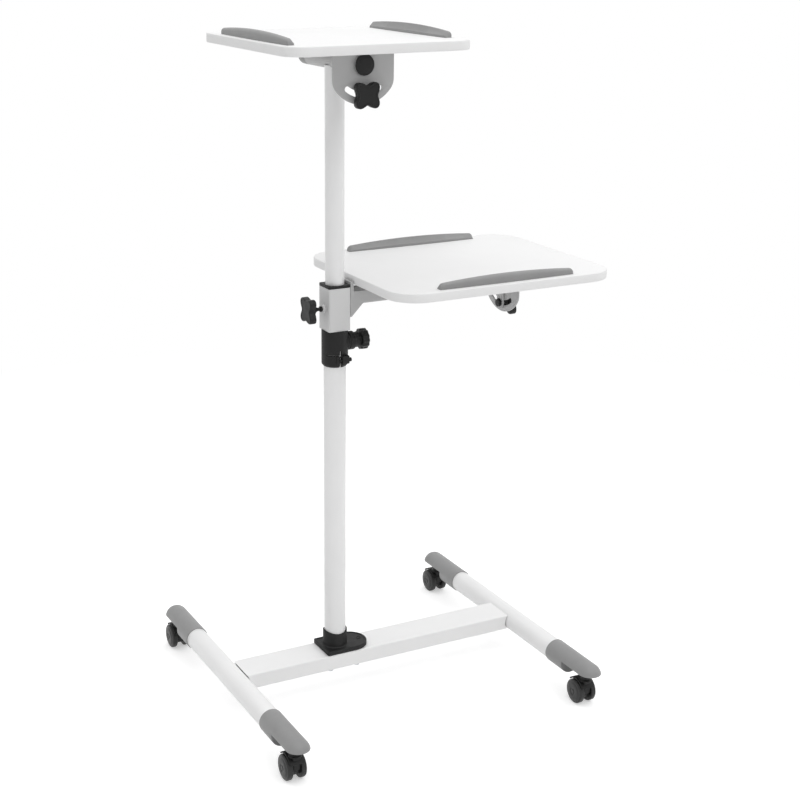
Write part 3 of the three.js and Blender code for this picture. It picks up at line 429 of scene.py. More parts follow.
def add_piece(name, bm, place, body, materials, replaced=(),
              smooth_angle=SMOOTH_ANGLE):
    """Turns a mesh into a finished piece that rides on a body."""
    bmesh.ops.transform(bm, matrix=Matrix.Scale(MM, 4) @ place, verts=bm.verts[:])
    limit = math.radians(smooth_angle)
    for face in bm.faces:
        face.smooth = True
    for edge in bm.edges:
        edge.smooth = edge.is_manifold and edge.calc_face_angle(0) < limit
    mesh = bpy.data.meshes.new(name)
    bm.to_mesh(mesh)
    bm.free()
    for material in materials:
        mesh.materials.append(material)
    obj = bpy.data.objects.new(name, mesh)
    bpy.context.scene.collection.objects.link(obj)
    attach(obj, body)
    if replaced:
        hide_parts(*replaced)


def dress_node(node, material):
    """Gives a CAD node its material and leaves its mesh alone."""
    for entry in frame["nodes"][node].material_slots:
        entry.material = material


# Materials. Every size of a pattern is in millimetres on the real piece.

def add_node(tree, kind, values=(), links=(), **settings):
    """Adds one node with its settings, its socket values and what feeds its sockets."""
    made = tree.nodes.new(kind)
    for key, value in settings.items():
        setattr(made, key, value)
    for socket, value in dict(values).items():
        made.inputs[socket].default_value = value
    for socket, source in dict(links).items():
        tree.links.new(source, made.inputs[socket])
    return made


def per_metre(millimetres):
    """Noise scale whose features are this far apart."""
    return 1000.0 / millimetres


def shaded(colour, factor):
    return (*[min(1.0, c * factor) for c in colour], 1.0)


def noise(tree, place, size, detail, roughness=0.5):
    """Soft patches of a size, from 0 to 1."""
    return add_node(tree, "ShaderNodeTexNoise",
                    {"Scale": per_metre(size), "Detail": detail, "Roughness": roughness},
                    {"Vector": place}).outputs["Fac"]


def cells(tree, place, size):
    """Rounded pits of a size, by the distance to the middle of each."""
    return add_node(tree, "ShaderNodeTexVoronoi",
                    {"Scale": per_metre(size), "Randomness": 1.0}, {"Vector": place},
                    feature="SMOOTH_F1").outputs["Distance"]


def streaks(tree, place, sizes, detail, roughness=0.5):
    """Patches with a size of their own along X, Y and Z."""
    stretched = add_node(tree, "ShaderNodeMapping",
                         {"Scale": tuple(per_metre(size) for size in sizes)}, {"Vector": place})
    return add_node(tree, "ShaderNodeTexNoise",
                    {"Scale": 1.0, "Detail": detail, "Roughness": roughness},
                    {"Vector": stretched.outputs["Vector"]}).outputs["Fac"]


# A noise lies mostly between these two values, which are stretched to the whole range
NOISE_LOW = 0.3
NOISE_HIGH = 0.7


def mottled(tree, place, colour, spread, size, detail=3.0):
    """A colour that drifts a little over patches of a size."""
    ramp = add_node(tree, "ShaderNodeValToRGB",
                    links={"Fac": noise(tree, place, size, detail, roughness=0.55)})
    for element, position, factor in zip(ramp.color_ramp.elements, (NOISE_LOW, NOISE_HIGH),
                                         (1 - spread, 1 + spread)):
        element.position = position
        element.color = shaded(colour, factor)
    return ramp.outputs["Color"]


def uneven_gloss(tree, place, low, high, size):
    """A roughness that drifts between two values over patches of a size."""
    return add_node(tree, "ShaderNodeMapRange",
                    {"From Min": NOISE_LOW, "From Max": NOISE_HIGH, "To Min": low, "To Max": high},
                    {"Value": noise(tree, place, size, detail=4.0, roughness=0.6)}
                    ).outputs["Result"]


def relief(tree, height, depth, strength=1.0, below=None):
    """Bump of a depth, on top of another bump."""
    links = {"Height": height}
    if below is not None:
        links["Normal"] = below
    return add_node(tree, "ShaderNodeBump", {"Strength": strength, "Distance": depth * MM},
                    links).outputs["Normal"]


def finished(name, fill, values):
    """The material of a name. On first use, fill gives what feeds its surface shader."""
    material = bpy.data.materials.get(name)
    if material is None:
        material = bpy.data.materials.new(name)
        material.use_nodes = True
        tree = material.node_tree
        tree.nodes.clear()
        place = add_node(tree, "ShaderNodeTexCoord").outputs["Object"]
        colour, gloss, normal = fill(tree, place)
        shader = add_node(tree, "ShaderNodeBsdfPrincipled", values,
                          {"Base Color": colour, "Roughness": gloss, "Normal": normal})
        add_node(tree, "ShaderNodeOutputMaterial", links={"Surface": shader.outputs["BSDF"]})
    return material


def colour_of(name):
    return tuple(getattr(bpy.context.scene.cart_colours, name))


def powder_coat(name, colour, gloss, coat):
    """Powder coat on steel, sprayed and baked: an even satin skin with a fine orange peel.

    The peel is about 2 mm apart on the real one and is kept at that. A finer grain of 0.45 mm
    breaks up the highlight, and the colour hardly drifts.
    """
    def fill(tree, place):
        peel = relief(tree, noise(tree, place, size=2.2, detail=1.0, roughness=0.4), depth=0.035)
        grain = relief(tree, noise(tree, place, size=0.45, detail=2.0), depth=0.008,
                       strength=0.7, below=peel)
        return (mottled(tree, place, colour, spread=0.012, size=60),
                uneven_gloss(tree, place, *gloss, size=18), grain)

    return finished(name, fill, {"IOR": 1.5, "Coat Weight": coat, "Coat Roughness": 0.3})


# The soft waves between the pits of a mould finish, against the pits
WAVE_TO_PIT_SIZE = 2.5
WAVE_TO_PIT_DEPTH = 1.2


def moulded_plastic(name, colour, gloss, grain_size, grain_depth, spread=0.03, shine=0.5):
    """Moulded plastic with a spark-eroded mould finish: a matt skin of small even pits.

    The pits are 0.45 to 0.7 mm apart, a little coarser than real ones, so that they show close
    by. Slow flow marks change the gloss a little.
    """
    def fill(tree, place):
        pits = relief(tree, cells(tree, place, grain_size), grain_depth, strength=0.8)
        waves = noise(tree, place, WAVE_TO_PIT_SIZE * grain_size, detail=5.0, roughness=0.6)
        return (mottled(tree, place, colour, spread, size=25),
                uneven_gloss(tree, place, *gloss, size=9),
                relief(tree, waves, WAVE_TO_PIT_DEPTH * grain_depth, strength=0.6, below=pits))

    return finished(name, fill, {"IOR": 1.49, "Specular IOR Level": shine})


def white_enamel():
    return powder_coat("white_powder_coated_steel", colour_of("white_enamel"),
                       gloss=(0.34, 0.42), coat=0.15)


def grey_enamel():
    return powder_coat("grey_powder_coated_steel", colour_of("grey_enamel"),
                       gloss=(0.44, 0.54), coat=0.05)


def sleeve_enamel():
    return powder_coat("light_grey_powder_coated_steel", colour_of("sleeve_enamel"),
                       gloss=(0.36, 0.45), coat=0.1)


def grey_plastic():
    return moulded_plastic("grey_moulded_polypropylene", colour_of("grey_plastic"),
                           gloss=(0.4, 0.5), grain_size=0.5, grain_depth=0.02)


def black_plastic():
    return moulded_plastic("black_moulded_nylon", colour_of("black_plastic"),
                           gloss=(0.36, 0.5), grain_size=0.45, grain_depth=0.015,
                           spread=0.12, shine=0.25)


GLASS_FILLED_SHADE = 0.7


def structural_plastic():
    """Black glass-filled nylon of the collar, the socket and the lining: stiffer, duller and
    darker than the knobs, with the glass fibres showing as a coarser grain."""
    darker = tuple(GLASS_FILLED_SHADE * part for part in colour_of("black_plastic"))
    return moulded_plastic("black_glass_filled_nylon", darker, gloss=(0.46, 0.6),
                           grain_size=0.7, grain_depth=0.02, spread=0.1, shine=0.28)


def wheel_plastic():
    """Black moulded nylon wheels: faint rings from turning the mould, and patches here and there
    that are a little duller and paler. The rings are about 0.8 mm apart."""
    def fill(tree, place):
        rings = streaks(tree, place, sizes=(4.0, 0.8, 0.8), detail=3.0, roughness=0.6)
        return (mottled(tree, place, colour_of("black_plastic"), spread=0.16, size=6, detail=5.0),
                uneven_gloss(tree, place, low=0.3, high=0.48, size=5),
                relief(tree, rings, depth=0.03, strength=0.8))

    return finished("black_nylon_wheel", fill, {"IOR": 1.53, "Specular IOR Level": 0.36})


def white_laminate():
    """Melamine laminate pressed on fibreboard: smooth and satin, with a pearl texture of about
    0.7 mm pressed in by the plate, and a barely darker drift over a hand's width."""
    def fill(tree, place):
        pearl = relief(tree, cells(tree, place, size=0.7), depth=0.012, strength=0.6)
        waves = relief(tree, noise(tree, place, size=3.0, detail=2.0), depth=0.02,
                       strength=0.5, below=pearl)
        return (mottled(tree, place, colour_of("white_laminate"), spread=0.008, size=90),
                uneven_gloss(tree, place, low=0.4, high=0.5, size=30), waves)

    return finished("white_melamine_laminate", fill, {"IOR": 1.5})


def board_edging():
    """Extruded edge band glued round the board: a shade duller than the face, with faint
    lines of about 0.6 mm that run along the band."""
    def fill(tree, place):
        lines = streaks(tree, place, sizes=(60.0, 60.0, 0.6), detail=2.0)
        return (mottled(tree, place, colour_of("board_edging"), spread=0.01, size=40),
                uneven_gloss(tree, place, low=0.42, high=0.55, size=12),
                relief(tree, lines, depth=0.02, strength=0.5))

    return finished("white_extruded_edge_band", fill, {"IOR": 1.5})


def zinc_steel():
    """Steel with bright zinc plating, barrel-plated: a grey metal sheen with cloudy patches of
    2 mm and fine tumbling scratches of 0.3 mm."""
    def fill(tree, place):
        scratches = relief(tree, noise(tree, place, size=0.3, detail=4.0), depth=0.006,
                           strength=0.6)
        return (mottled(tree, place, colour_of("zinc_steel"), spread=0.08, size=2.0, detail=4.0),
                uneven_gloss(tree, place, low=0.26, high=0.42, size=1.5), scratches)

    return finished("bright_zinc_plated_steel", fill, {"Metallic": 1.0})


# Base frame

LEG_SPAN = node_span("leg_left")
LEG_RADIUS = LEG_SPAN.x / 2
LEG_LENGTH = LEG_SPAN.y
LEG_HEIGHT = node_middle("leg_left").z
LEG_WALL = 1.5
LEG_PLACES = {side: node_middle(f"leg_{side}").x for side in ("left", "right")}


class CART_OT_legs(Operator):
    """Two round floor legs of drawn steel tube"""
    bl_idname = "cart.legs"
    bl_label = "Legs"

    def execute(self, context):
        facets = context.scene.cart_sizes.facets
        for side, x in LEG_PLACES.items():
            tube = pipe(LEG_RADIUS, LEG_RADIUS - LEG_WALL, LEG_LENGTH, facets)
            place = frame_at(x, -LEG_LENGTH / 2, LEG_HEIGHT) @ ALONG_Y
            add_piece(f"leg_tube_{side}", tube, place, "base", [white_enamel()],
                      [f"leg_{side}"])
        return {"FINISHED"}


BEAM = node_middle("cross_beam")
BEAM_SPAN = node_span("cross_beam")
BEAM_BOTTOM = BEAM.z - BEAM_SPAN.z / 2
BEAM_WALL = 1.5
BEAM_INNER_CORNER = 1.1
# Width of the dark joint where the coped end meets the round leg
BEAM_JOINT = 1.5
COPE_OVERRUN = 10
BEAM_BOLT_HOLE = 3.4
BOLT_PLACES = {f"{end}_{side}": (x, y) for end, y in (("front", -22), ("rear", 22))
               for side, x in (("left", -20), ("right", 32))}


class CART_OT_cross_beam(Operator):
    """Rectangular cross beam, coped to the round legs at both ends"""
    bl_idname = "cart.cross_beam"
    bl_label = "Cross beam"

    def execute(self, context):
        sizes = context.scene.cart_sizes
        left, right = LEG_PLACES["left"], LEG_PLACES["right"]
        outer = self.bar(0, right - left, sizes.beam_corner)
        inner = shifted(self.bar(-BEAM_WALL, right - left + 2 * OVERRUN, BEAM_INNER_CORNER),
                        -OVERRUN, 0, 0)
        for bm in (outer, inner):
            shifted(bm, left, 0, BEAM.z)
        copes = [turned(bore(LEG_RADIUS + BEAM_JOINT, BEAM_SPAN.y + 2 * COPE_OVERRUN, sizes.facets),
                        frame_at(x, -BEAM_SPAN.y / 2 - COPE_OVERRUN, LEG_HEIGHT), ALONG_Y)
                 for x in (left, right)]
        holes = [shifted(bore(BEAM_BOLT_HOLE, BEAM_SPAN.z + 2 * OVERRUN, HOLE_FACETS),
                         MAST.x + x, y, BEAM_BOTTOM - OVERRUN) for x, y in BOLT_PLACES.values()]
        beam = combined(outer, cuts=[inner, *copes, *holes])
        add_piece("beam_tube", beam, Matrix.Identity(4), "base",
                  [white_enamel()], ["cross_beam"])
        return {"FINISHED"}

    def bar(self, grow, length, corner):
        """The beam's section, a little larger or smaller, drawn out along X."""
        y, z = BEAM_SPAN.y / 2 + grow, BEAM_SPAN.z / 2 + grow
        return turned(plate([(-y, -z), (y, -z), (y, z), (-y, z)], length, radii=corner),
                      OUTLINE_IN_YZ)


CAP_RADIUS = node_span("leg_cap_rear_left").x / 2
CAP_MOUTH = node_box("leg_cap_rear_left")[0].y
CAP_NOSE = node_box("leg_cap_rear_left")[1].y
CAP_WALL = 2.5
CAP_MOUTH_EDGE = 1.2
CAP_SEAT_DEPTH = 43
# The hood is open below, from this far behind the nose
HOOD_LENGTH = 77
HOOD_EDGE = 64
HOOD_CUT_WIDTH = 90
HOOD_CUT_HEIGHT = 42
CAVITY_EDGE = 1.5
# A nose is rounded by all but this of its radius, since a rounding can't take all of an edge
DOME_TIP = 0.05
DOME_SEGMENTS = 14
# The boss in the hood that holds the caster stem, and its two crossed ribs
STEM_REACH = node_middle("caster_stem_rear_left").y
STEM_BORE = 4.4
STEM_BORE_LENGTH = 20
STEM_BOSS_RADIUS = 9
STEM_BOSS_HEIGHT = 15.6
STEM_BOSS_INSET = 2
STEM_BOSS_EDGES = (0.4, 0.8)
RIB_THICKNESS = 1.6
RIB_EDGE = 0.3
LONG_RIB_GAP = 10
LONG_RIB_HEIGHT = 12
LONG_RIB_RISE = 2.4
CROSS_RIB_LENGTH = 29
CROSS_RIB_HEIGHT = 9
CROSS_RIB_RISE = 3.4


class CART_OT_leg_caps(Operator):
    """Four moulded caps on the leg ends, each with an open hood over its caster"""
    bl_idname = "cart.leg_caps"
    bl_label = "Leg caps"

    def execute(self, context):
        edge = context.scene.cart_sizes.moulded_edge
        for tag in TAGS:
            end, side = tag.split("_")
            turn = 0.0 if end == "rear" else HALF_TURN
            place = frame_at(LEG_PLACES[side], 0, LEG_HEIGHT, turn)
            add_piece(f"cap_{tag}", self.cap(edge), place, "base",
                      [grey_plastic()], [f"leg_cap_{tag}"])
        return {"FINISHED"}

    def bullet(self, radius, foot, foot_edge, nose):
        """A rod along Y with a domed nose."""
        return turned(lathe([(0, foot), (radius, foot, foot_edge),
                             (radius, nose, radius - DOME_TIP), (0, nose)],
                            TUBE_FACETS, DOME_SEGMENTS), ALONG_Y)

    def cap(self, edge):
        outer = self.bullet(CAP_RADIUS, CAP_MOUTH, CAP_MOUTH_EDGE, CAP_NOSE)
        seat = turned(bore(LEG_RADIUS + SEAT_GAP, CAP_SEAT_DEPTH + OVERRUN),
                      frame_at(0, CAP_MOUTH - OVERRUN, 0), ALONG_Y)
        shoulder = CAP_NOSE - HOOD_LENGTH
        cavity = self.bullet(CAP_RADIUS - CAP_WALL, shoulder + CAP_WALL, CAVITY_EDGE,
                             CAP_NOSE - CAP_WALL)
        length = HOOD_LENGTH + OVERRUN
        underside = shifted(block(HOOD_CUT_WIDTH, length, HOOD_CUT_HEIGHT),
                            0, shoulder + length / 2, HOOD_EDGE - LEG_HEIGHT - HOOD_CUT_HEIGHT)
        shell = soften(combined(outer, cuts=[seat, cavity, underside]), edge)
        low = HOOD_EDGE - STEM_BOSS_INSET - LEG_HEIGHT
        inner_edge, outer_edge = STEM_BOSS_EDGES
        boss = lathe([(STEM_BORE, 0, inner_edge), (STEM_BOSS_RADIUS, 0, outer_edge),
                      (STEM_BOSS_RADIUS, STEM_BOSS_HEIGHT), (STEM_BORE, STEM_BOSS_HEIGHT)],
                     BOSS_FACETS, 3, closed=True)
        long_rib = block(RIB_THICKNESS, 2 * (CAP_NOSE - STEM_REACH - LONG_RIB_GAP),
                         LONG_RIB_HEIGHT, RIB_EDGE)
        cross_rib = block(CROSS_RIB_LENGTH, RIB_THICKNESS, CROSS_RIB_HEIGHT, RIB_EDGE)
        hole = bore(STEM_BORE, STEM_BORE_LENGTH, BOSS_FACETS)
        for bm, rise in ((boss, 0), (long_rib, LONG_RIB_RISE), (cross_rib, CROSS_RIB_RISE),
                         (hole, -OVERRUN)):
            shifted(bm, 0, STEM_REACH, low + rise)
        return combined(shell, joins=[boss, long_rib, cross_rib], cuts=[hole])


# Casters, each drawn round its stem with the axle behind it

WHEEL_SPAN = node_span("caster_wheel_rear_left_left")
WHEEL_RADIUS = WHEEL_SPAN.z / 2
WHEEL_THICKNESS = WHEEL_SPAN.x
WHEEL_HEIGHT = node_middle("caster_wheel_rear_left_left").z
WHEEL_SPREAD = 15
CASTER_TRAIL = 10
# The outer face of a wheel, as radius, height over the face and rounding: hub disc, groove,
# dished web and a bead before the rim
WHEEL_FACE = [(0, 0), (4.2, 0, 0.5), (5.0, -0.9, 0.3), (5.8, -0.9, 0.3), (6.6, -0.1, 0.4),
              (14.5, -0.2, 3.0), (17.0, -1.7, 0.3), (18.0, -1.9, 0.3), (18.6, -1.7, 0.4)]
# The rim, from the outer face to the tread, and the tread to the inner side
WHEEL_RIM = [(-0.6, -3.1, 0.8), (0, -4.2, 1.2)]
WHEEL_TREAD = [(0, 1.0, 0.8), (-1.2, 0, 0.4)]
# The inner side of a wheel round its blind axle bore
WHEEL_BORE = 3.4
WHEEL_BORE_END = 1.5
WHEEL_RECESS = 0.8
WHEEL_BACK = [(9, 0, 0.3), (8.4, WHEEL_RECESS, 0.2), (WHEEL_BORE, WHEEL_RECESS, 0.2)]

HOUSING_TOP = node_box("caster_housing_rear_left")[1].z
HUB_RADIUS = 15
HUB_WIDTH = 14
HUB_EDGE = 1.0
COLUMN_SIZE = (13.6, 16, 25.4)
COLUMN_EDGE = 1.2
FENDER_OUTER = 25.5
FENDER_INNER = 23
FENDER_WIDTH = 27
FENDER_START, FENDER_END = math.radians(45), math.radians(150)
FENDER_STEPS = 30
# The flared neck that the stem stands in
NECK_RISE = 23.6
NECK_RADIUS = 8
NECK_FOOT = [(0, 0), (11.5, 0), (11.5, 1.6, 1.0), (NECK_RADIUS, 3.4, 2.2)]
NECK_EDGE = 0.6
STEM_HOLE = 4.3
STEM_HOLE_DEPTH = 10.3
STEM_HOLE_CUT = 14
AXLE_HOLE = 3.3
AXLE_HOLE_LENGTH = 20


class CART_OT_casters(Operator):
    """Four twin-wheel casters: housing with its fender, and two wheels"""
    bl_idname = "cart.casters"
    bl_label = "Casters"

    def execute(self, context):
        edge = context.scene.cart_sizes.moulded_edge
        for tag in TAGS:
            end, side = tag.split("_")
            x = LEG_PLACES[side]
            y = STEM_REACH if end == "rear" else -STEM_REACH
            add_piece(f"caster_body_{tag}", self.housing(edge), frame_at(x, y, 0), f"caster_{tag}",
                      [black_plastic()], [f"caster_housing_{tag}"])
            for name, way, outwards in (("left", -1, AGAINST_X), ("right", 1, ALONG_X)):
                place = frame_at(x + way * WHEEL_SPREAD / 2, y + CASTER_TRAIL, WHEEL_HEIGHT)
                add_piece(f"wheel_{tag}_{name}", self.wheel(), place @ outwards,
                          f"wheel_{tag}_{name}", [wheel_plastic()],
                          [f"caster_wheel_{tag}_{name}"])
            for node in (f"caster_stem_{tag}", f"caster_axle_{tag}"):
                dress_node(node, zinc_steel())
        return {"FINISHED"}

    def wheel(self):
        rim, face = WHEEL_RADIUS, WHEEL_THICKNESS
        axle_bore = [(WHEEL_BORE, face - WHEEL_BORE_END), (0, face - WHEEL_BORE_END)]
        return lathe([*moved(WHEEL_FACE, up=face), *moved(WHEEL_RIM, rim, face),
                      *moved(WHEEL_TREAD, rim), *WHEEL_BACK, *axle_bore], TUBE_FACETS, 3)

    def housing(self, edge):
        axle = frame_at(0, CASTER_TRAIL, WHEEL_HEIGHT)
        hub = turned(rod(HUB_RADIUS, HUB_WIDTH, HUB_EDGE),
                     axle, frame_at(-HUB_WIDTH / 2, 0, 0), ALONG_X)
        column = shifted(block(*COLUMN_SIZE, COLUMN_EDGE), 0, 0, WHEEL_HEIGHT)
        corners = (arc(0, 0, FENDER_OUTER, FENDER_START, FENDER_END, FENDER_STEPS)
                   + arc(0, 0, FENDER_INNER, FENDER_END, FENDER_START, FENDER_STEPS))
        fender = turned(plate(corners, FENDER_WIDTH), axle, frame_at(-FENDER_WIDTH / 2, 0, 0),
                        OUTLINE_IN_YZ)
        soften(fender, edge, 3, PLATE_SHARP_ANGLE)
        low = WHEEL_HEIGHT + NECK_RISE
        top = HOUSING_TOP - low
        neck = shifted(lathe([*NECK_FOOT, (NECK_RADIUS, top, NECK_EDGE), (0, top)], HUB_FACETS),
                       0, 0, low)
        stem_hole = shifted(bore(STEM_HOLE, STEM_HOLE_CUT, SHANK_FACETS),
                            0, 0, HOUSING_TOP - STEM_HOLE_DEPTH)
        axle_hole = turned(bore(AXLE_HOLE, AXLE_HOLE_LENGTH, SHANK_FACETS),
                           axle, frame_at(-AXLE_HOLE_LENGTH / 2, 0, 0), ALONG_X)
        return combined(hub, joins=[column, fender, neck], cuts=[stem_hole, axle_hole])


# Screws and bolts, drawn along Z with the outer face of the head at Z = 0

THREAD_DEPTH_SHARE = 0.3
THREAD_CREST_SHARES = (0.45, 0.55)
THREAD_START = 0.3
COARSE_PITCH = 1.25
FINE_PITCH = 1.0
# How far the turning of a bolt head reaches in from its corners, and how high it rises there
TURNING_REACH = 0.9
TURNING_RISE = 0.7
TURNING_EDGE = 0.2
TURNING_CLEARANCE = 0.1
TURNING_OVERRUN = 1


def hex_head(across_corners, height):
    """A six-sided bolt head whose corners are turned off round its outer face."""
    radius = across_corners / 2
    rim, top = radius + TURNING_CLEARANCE, height + TURNING_OVERRUN
    turning = lathe([(0, 0), (radius - TURNING_REACH, 0, TURNING_EDGE),
                     (rim, TURNING_RISE, TURNING_EDGE), (rim, top), (0, top)], BOSS_FACETS, 2)
    return combined(hexagon_prism(across_corners, height), keeps=[turning])


def threaded(radius, length, pitch=COARSE_PITCH):
    """A screw shank with rings at the pitch of its thread."""
    root = radius - pitch * THREAD_DEPTH_SHARE
    crests = [(radius, pitch * share) for share in THREAD_CREST_SHARES]
    turns = int(length / pitch) - 1
    profile = [(0, 0), (root, 0)]
    for turn in range(turns):
        profile += moved([(root, 0), *crests], up=THREAD_START + turn * pitch)
    profile += [(root, THREAD_START + turns * pitch), (root, length), (0, length)]
    return lathe(profile, SHANK_FACETS, 1)


# Mast socket and its bolts

SOCKET_LOW, SOCKET_HIGH = node_box("mast_socket")
SOCKET_SPAN = node_span("mast_socket")
SOCKET_CORNER = 3.0
SOCKET_EDGE = 1.2
SOCKET_ROUND_STEPS = 40
SOCKET_PLATE = 8
# The flat panel inside the raised border
PANEL_INSET = 3.2
PANEL_SINK = 0.8
PANEL_CORNER = 1.0
CUP_RADIUS = 21.5
CUP_FOOT = 1
CUP_FOOT_RADIUS = 27
CUP_FILLET = 3.0
CUP_EDGE = 0.7
CUP_FLOOR = 4
# How far the rim of the cup dips at the front and the rear
RIM_DIP = 5
RIM_BAND = 3
SOCKET_BOLT_HOLE = 3.3
SOCKET_BOLT_HOLE_LENGTH = 9.3
# A moulded ring on the panel, at the round end
RING_PLACE = 47
RING_OUTER = 4.5
RING_INNER = 3.6
RING_HEIGHT = 0.7
RING_EDGE = 0.2
RING_SINK = 0.9
SOCKET_BOLT_HEAD = (11.5, 4)
SOCKET_BOLT_RADIUS = 3.0
SOCKET_BOLT_OVERLAP = 2
SOCKET_BOLT_END_GAP = 0.2
LOWER_RADIUS = node_span("lower_mast_tube").x / 2
UPPER_RADIUS = node_span("upper_mast_tube").x / 2


class CART_OT_mast_socket(Operator):
    """Moulded socket on the beam: a plate with one round end, a raised border and a cup"""
    bl_idname = "cart.mast_socket"
    bl_label = "Mast socket"

    def layer(self, inset, thickness, edge, corner):
        """The plate's outline, drawn in a little and out along Z. Its right end is round."""
        half = SOCKET_SPAN.y / 2
        left, right = SOCKET_LOW.x - MAST.x + inset, SOCKET_HIGH.x - MAST.x - half
        corners = [(left, -half + inset),
                   *arc(right, 0, half - inset, -QUARTER_TURN, QUARTER_TURN, SOCKET_ROUND_STEPS),
                   (left, half - inset)]
        radii = [corner, *[0] * (len(corners) - 2), corner]
        return plate(corners, thickness, radii=radii, edge=edge, edge_segments=3)

    def execute(self, context):
        height = SOCKET_SPAN.z
        panel_height = SOCKET_PLATE - PANEL_SINK
        border = self.layer(0, SOCKET_PLATE, SOCKET_EDGE, SOCKET_CORNER)
        panel = shifted(self.layer(PANEL_INSET, OVERRUN, 0, PANEL_CORNER), 0, 0, panel_height)
        cup = lathe([(0, CUP_FOOT), (CUP_FOOT_RADIUS, CUP_FOOT), (CUP_FOOT_RADIUS, panel_height),
                     (CUP_RADIUS, panel_height, CUP_FILLET), (CUP_RADIUS, height, CUP_EDGE),
                     (0, height)], TUBE_FACETS, 5)
        ring = shifted(pipe(RING_OUTER, RING_INNER, RING_HEIGHT, BOSS_FACETS, RING_EDGE),
                       RING_PLACE, 0, SOCKET_PLATE - RING_SINK)
        cup_bore = shifted(bore(LOWER_RADIUS + SEAT_GAP, height), 0, 0, CUP_FLOOR)
        holes = [shifted(bore(SOCKET_BOLT_HOLE, SOCKET_BOLT_HOLE_LENGTH, HOLE_FACETS),
                         x, y, -OVERRUN) for x, y in BOLT_PLACES.values()]
        body = combined(combined(border, cuts=[panel]), joins=[cup, ring],
                        cuts=[cup_bore, *holes])
        dome = (CUP_RADIUS ** 2 + RIM_DIP ** 2) / (2 * RIM_DIP)
        for vert in body.verts:
            if vert.co.z > height - RIM_BAND:
                vert.co.z -= dome - math.sqrt(dome ** 2 - vert.co.y ** 2)
        add_piece("socket_moulding", body, frame_at(MAST.x, 0, SOCKET_LOW.z), "base",
                  [structural_plastic()], ["mast_socket"])
        for tag, (x, y) in BOLT_PLACES.items():
            node = f"socket_bolt_{tag}"
            low, high = node_box(node)
            shank = threaded(SOCKET_BOLT_RADIUS,
                             high.z - low.z - SOCKET_BOLT_OVERLAP - SOCKET_BOLT_END_GAP)
            bolt = merged(hex_head(*SOCKET_BOLT_HEAD), shifted(shank, 0, 0, SOCKET_BOLT_OVERLAP))
            add_piece(f"bolt_{tag}", bolt, frame_at(MAST.x + x, y, low.z), "base",
                      [zinc_steel()], [node])
        return {"FINISHED"}


# Mast tubes, clamp collar and its screw

LOWER_TUBE_WALL = 1.2
UPPER_TUBE_WALL = 1.5
PIVOT_RADIUS = node_span("top_pivot_tube").x / 2
SADDLE_LENGTH = 80
# The points of the notched top are trimmed this far under the pivot axis
NOTCH_TRIM = 8.5
TRIM_SIZE = (50, 50, 40)


class CART_OT_mast_tubes(Operator):
    """The lower and the upper mast tube"""
    bl_idname = "cart.mast_tubes"
    bl_label = "Mast tubes"

    def execute(self, context):
        facets = context.scene.cart_sizes.facets
        low, high = node_box("lower_mast_tube")
        lower = pipe(LOWER_RADIUS, LOWER_RADIUS - LOWER_TUBE_WALL, high.z - low.z, facets)
        add_piece("mast_tube_lower", lower, frame_at(MAST.x, 0, low.z), "base",
                  [white_enamel()], ["lower_mast_tube"])
        low, _ = node_box("upper_mast_tube")
        height = TOP_PIVOT - low.z
        upper = pipe(UPPER_RADIUS, UPPER_RADIUS - UPPER_TUBE_WALL, height, facets)
        saddle = turned(bore(PIVOT_RADIUS + SEAT_GAP, SADDLE_LENGTH, facets),
                        frame_at(0, -SADDLE_LENGTH / 2, height), ALONG_Y)
        points = shifted(block(*TRIM_SIZE), 0, 0, height - NOTCH_TRIM)
        upper = combined(combined(upper, cuts=[saddle]), cuts=[points])
        add_piece("mast_tube_upper", upper, frame_at(MAST.x, 0, low.z), "upper_mast",
                  [white_enamel()], ["upper_mast_tube"])
        for node in ("mast_glide_bush", "sleeve_glide_ring"):
            dress_node(node, black_plastic())
        return {"FINISHED"}


COLLAR_LOW, COLLAR_HIGH = node_box("clamp_collar")
COLLAR_HEIGHT = COLLAR_HIGH.z - COLLAR_LOW.z
COLLAR_REACH = COLLAR_HIGH.x - MAST.x
COLLAR_RADIUS = 22.5
COLLAR_CHAMFER = 4
COLLAR_EDGES = (0.4, 1.5, 0.8)
# Above this far under the top, the bore fits the upper tube instead of the lower
COLLAR_STEP = 30
COLLAR_GUIDE_GAP = 0.4
# The boss of the clamp screw, and its groove and its narrow end as steps from its radius, the
# groove from the mast's middle and the end from the boss's face
BOSS_DROP = 23
BOSS_RADIUS = 15.75
BOSS_GROOVE = [(0, 20.6), (-1, 21.6, 0.4), (-1, 23.2, 0.4), (0, 24.2, 0.4)]
BOSS_SHOULDER = [(0, -9, 0.8), (-2.6, -8, 0.6), (-2.6, 0, 0.7)]
CLAMP_SCREW_HOLE = 4.4
# The pinch lug stands on the right of the slit, and its land on the left
LUG_SIZE = (14.5, 28, 14)
LUG_EDGE = 1.6
LUG_PLACE = (7.25, -14, 8)
LAND_SIZE = (8.1, 24.5, 13.7)
LAND_EDGE = 1.2
LAND_PLACE = (-3.45, -12.25, 8.15)
SLIT_SIZE = (3, 50, 34)
SLIT_PLACE = (0, -26, -4)
CROSS_SLIT_SIZE = (20, 50, 1.4)
CROSS_SLIT_PLACE = (-10.2, -26.2, 21.2)
PINCH_HOLE = 2.3
PINCH_HOLE_LENGTH = 45
PINCH_HOLE_PLACE = (-3, -24, 15.1)
PINCH_SCREW_RADIUS = 2.0
PINCH_HEAD_RADIUS = 3.5
PINCH_HEAD_HEIGHT = 4
PINCH_HEAD_EDGES = (0.2, 0.8)
PINCH_KEY_CORNERS = 3.4
PINCH_KEY_DEPTH = 2


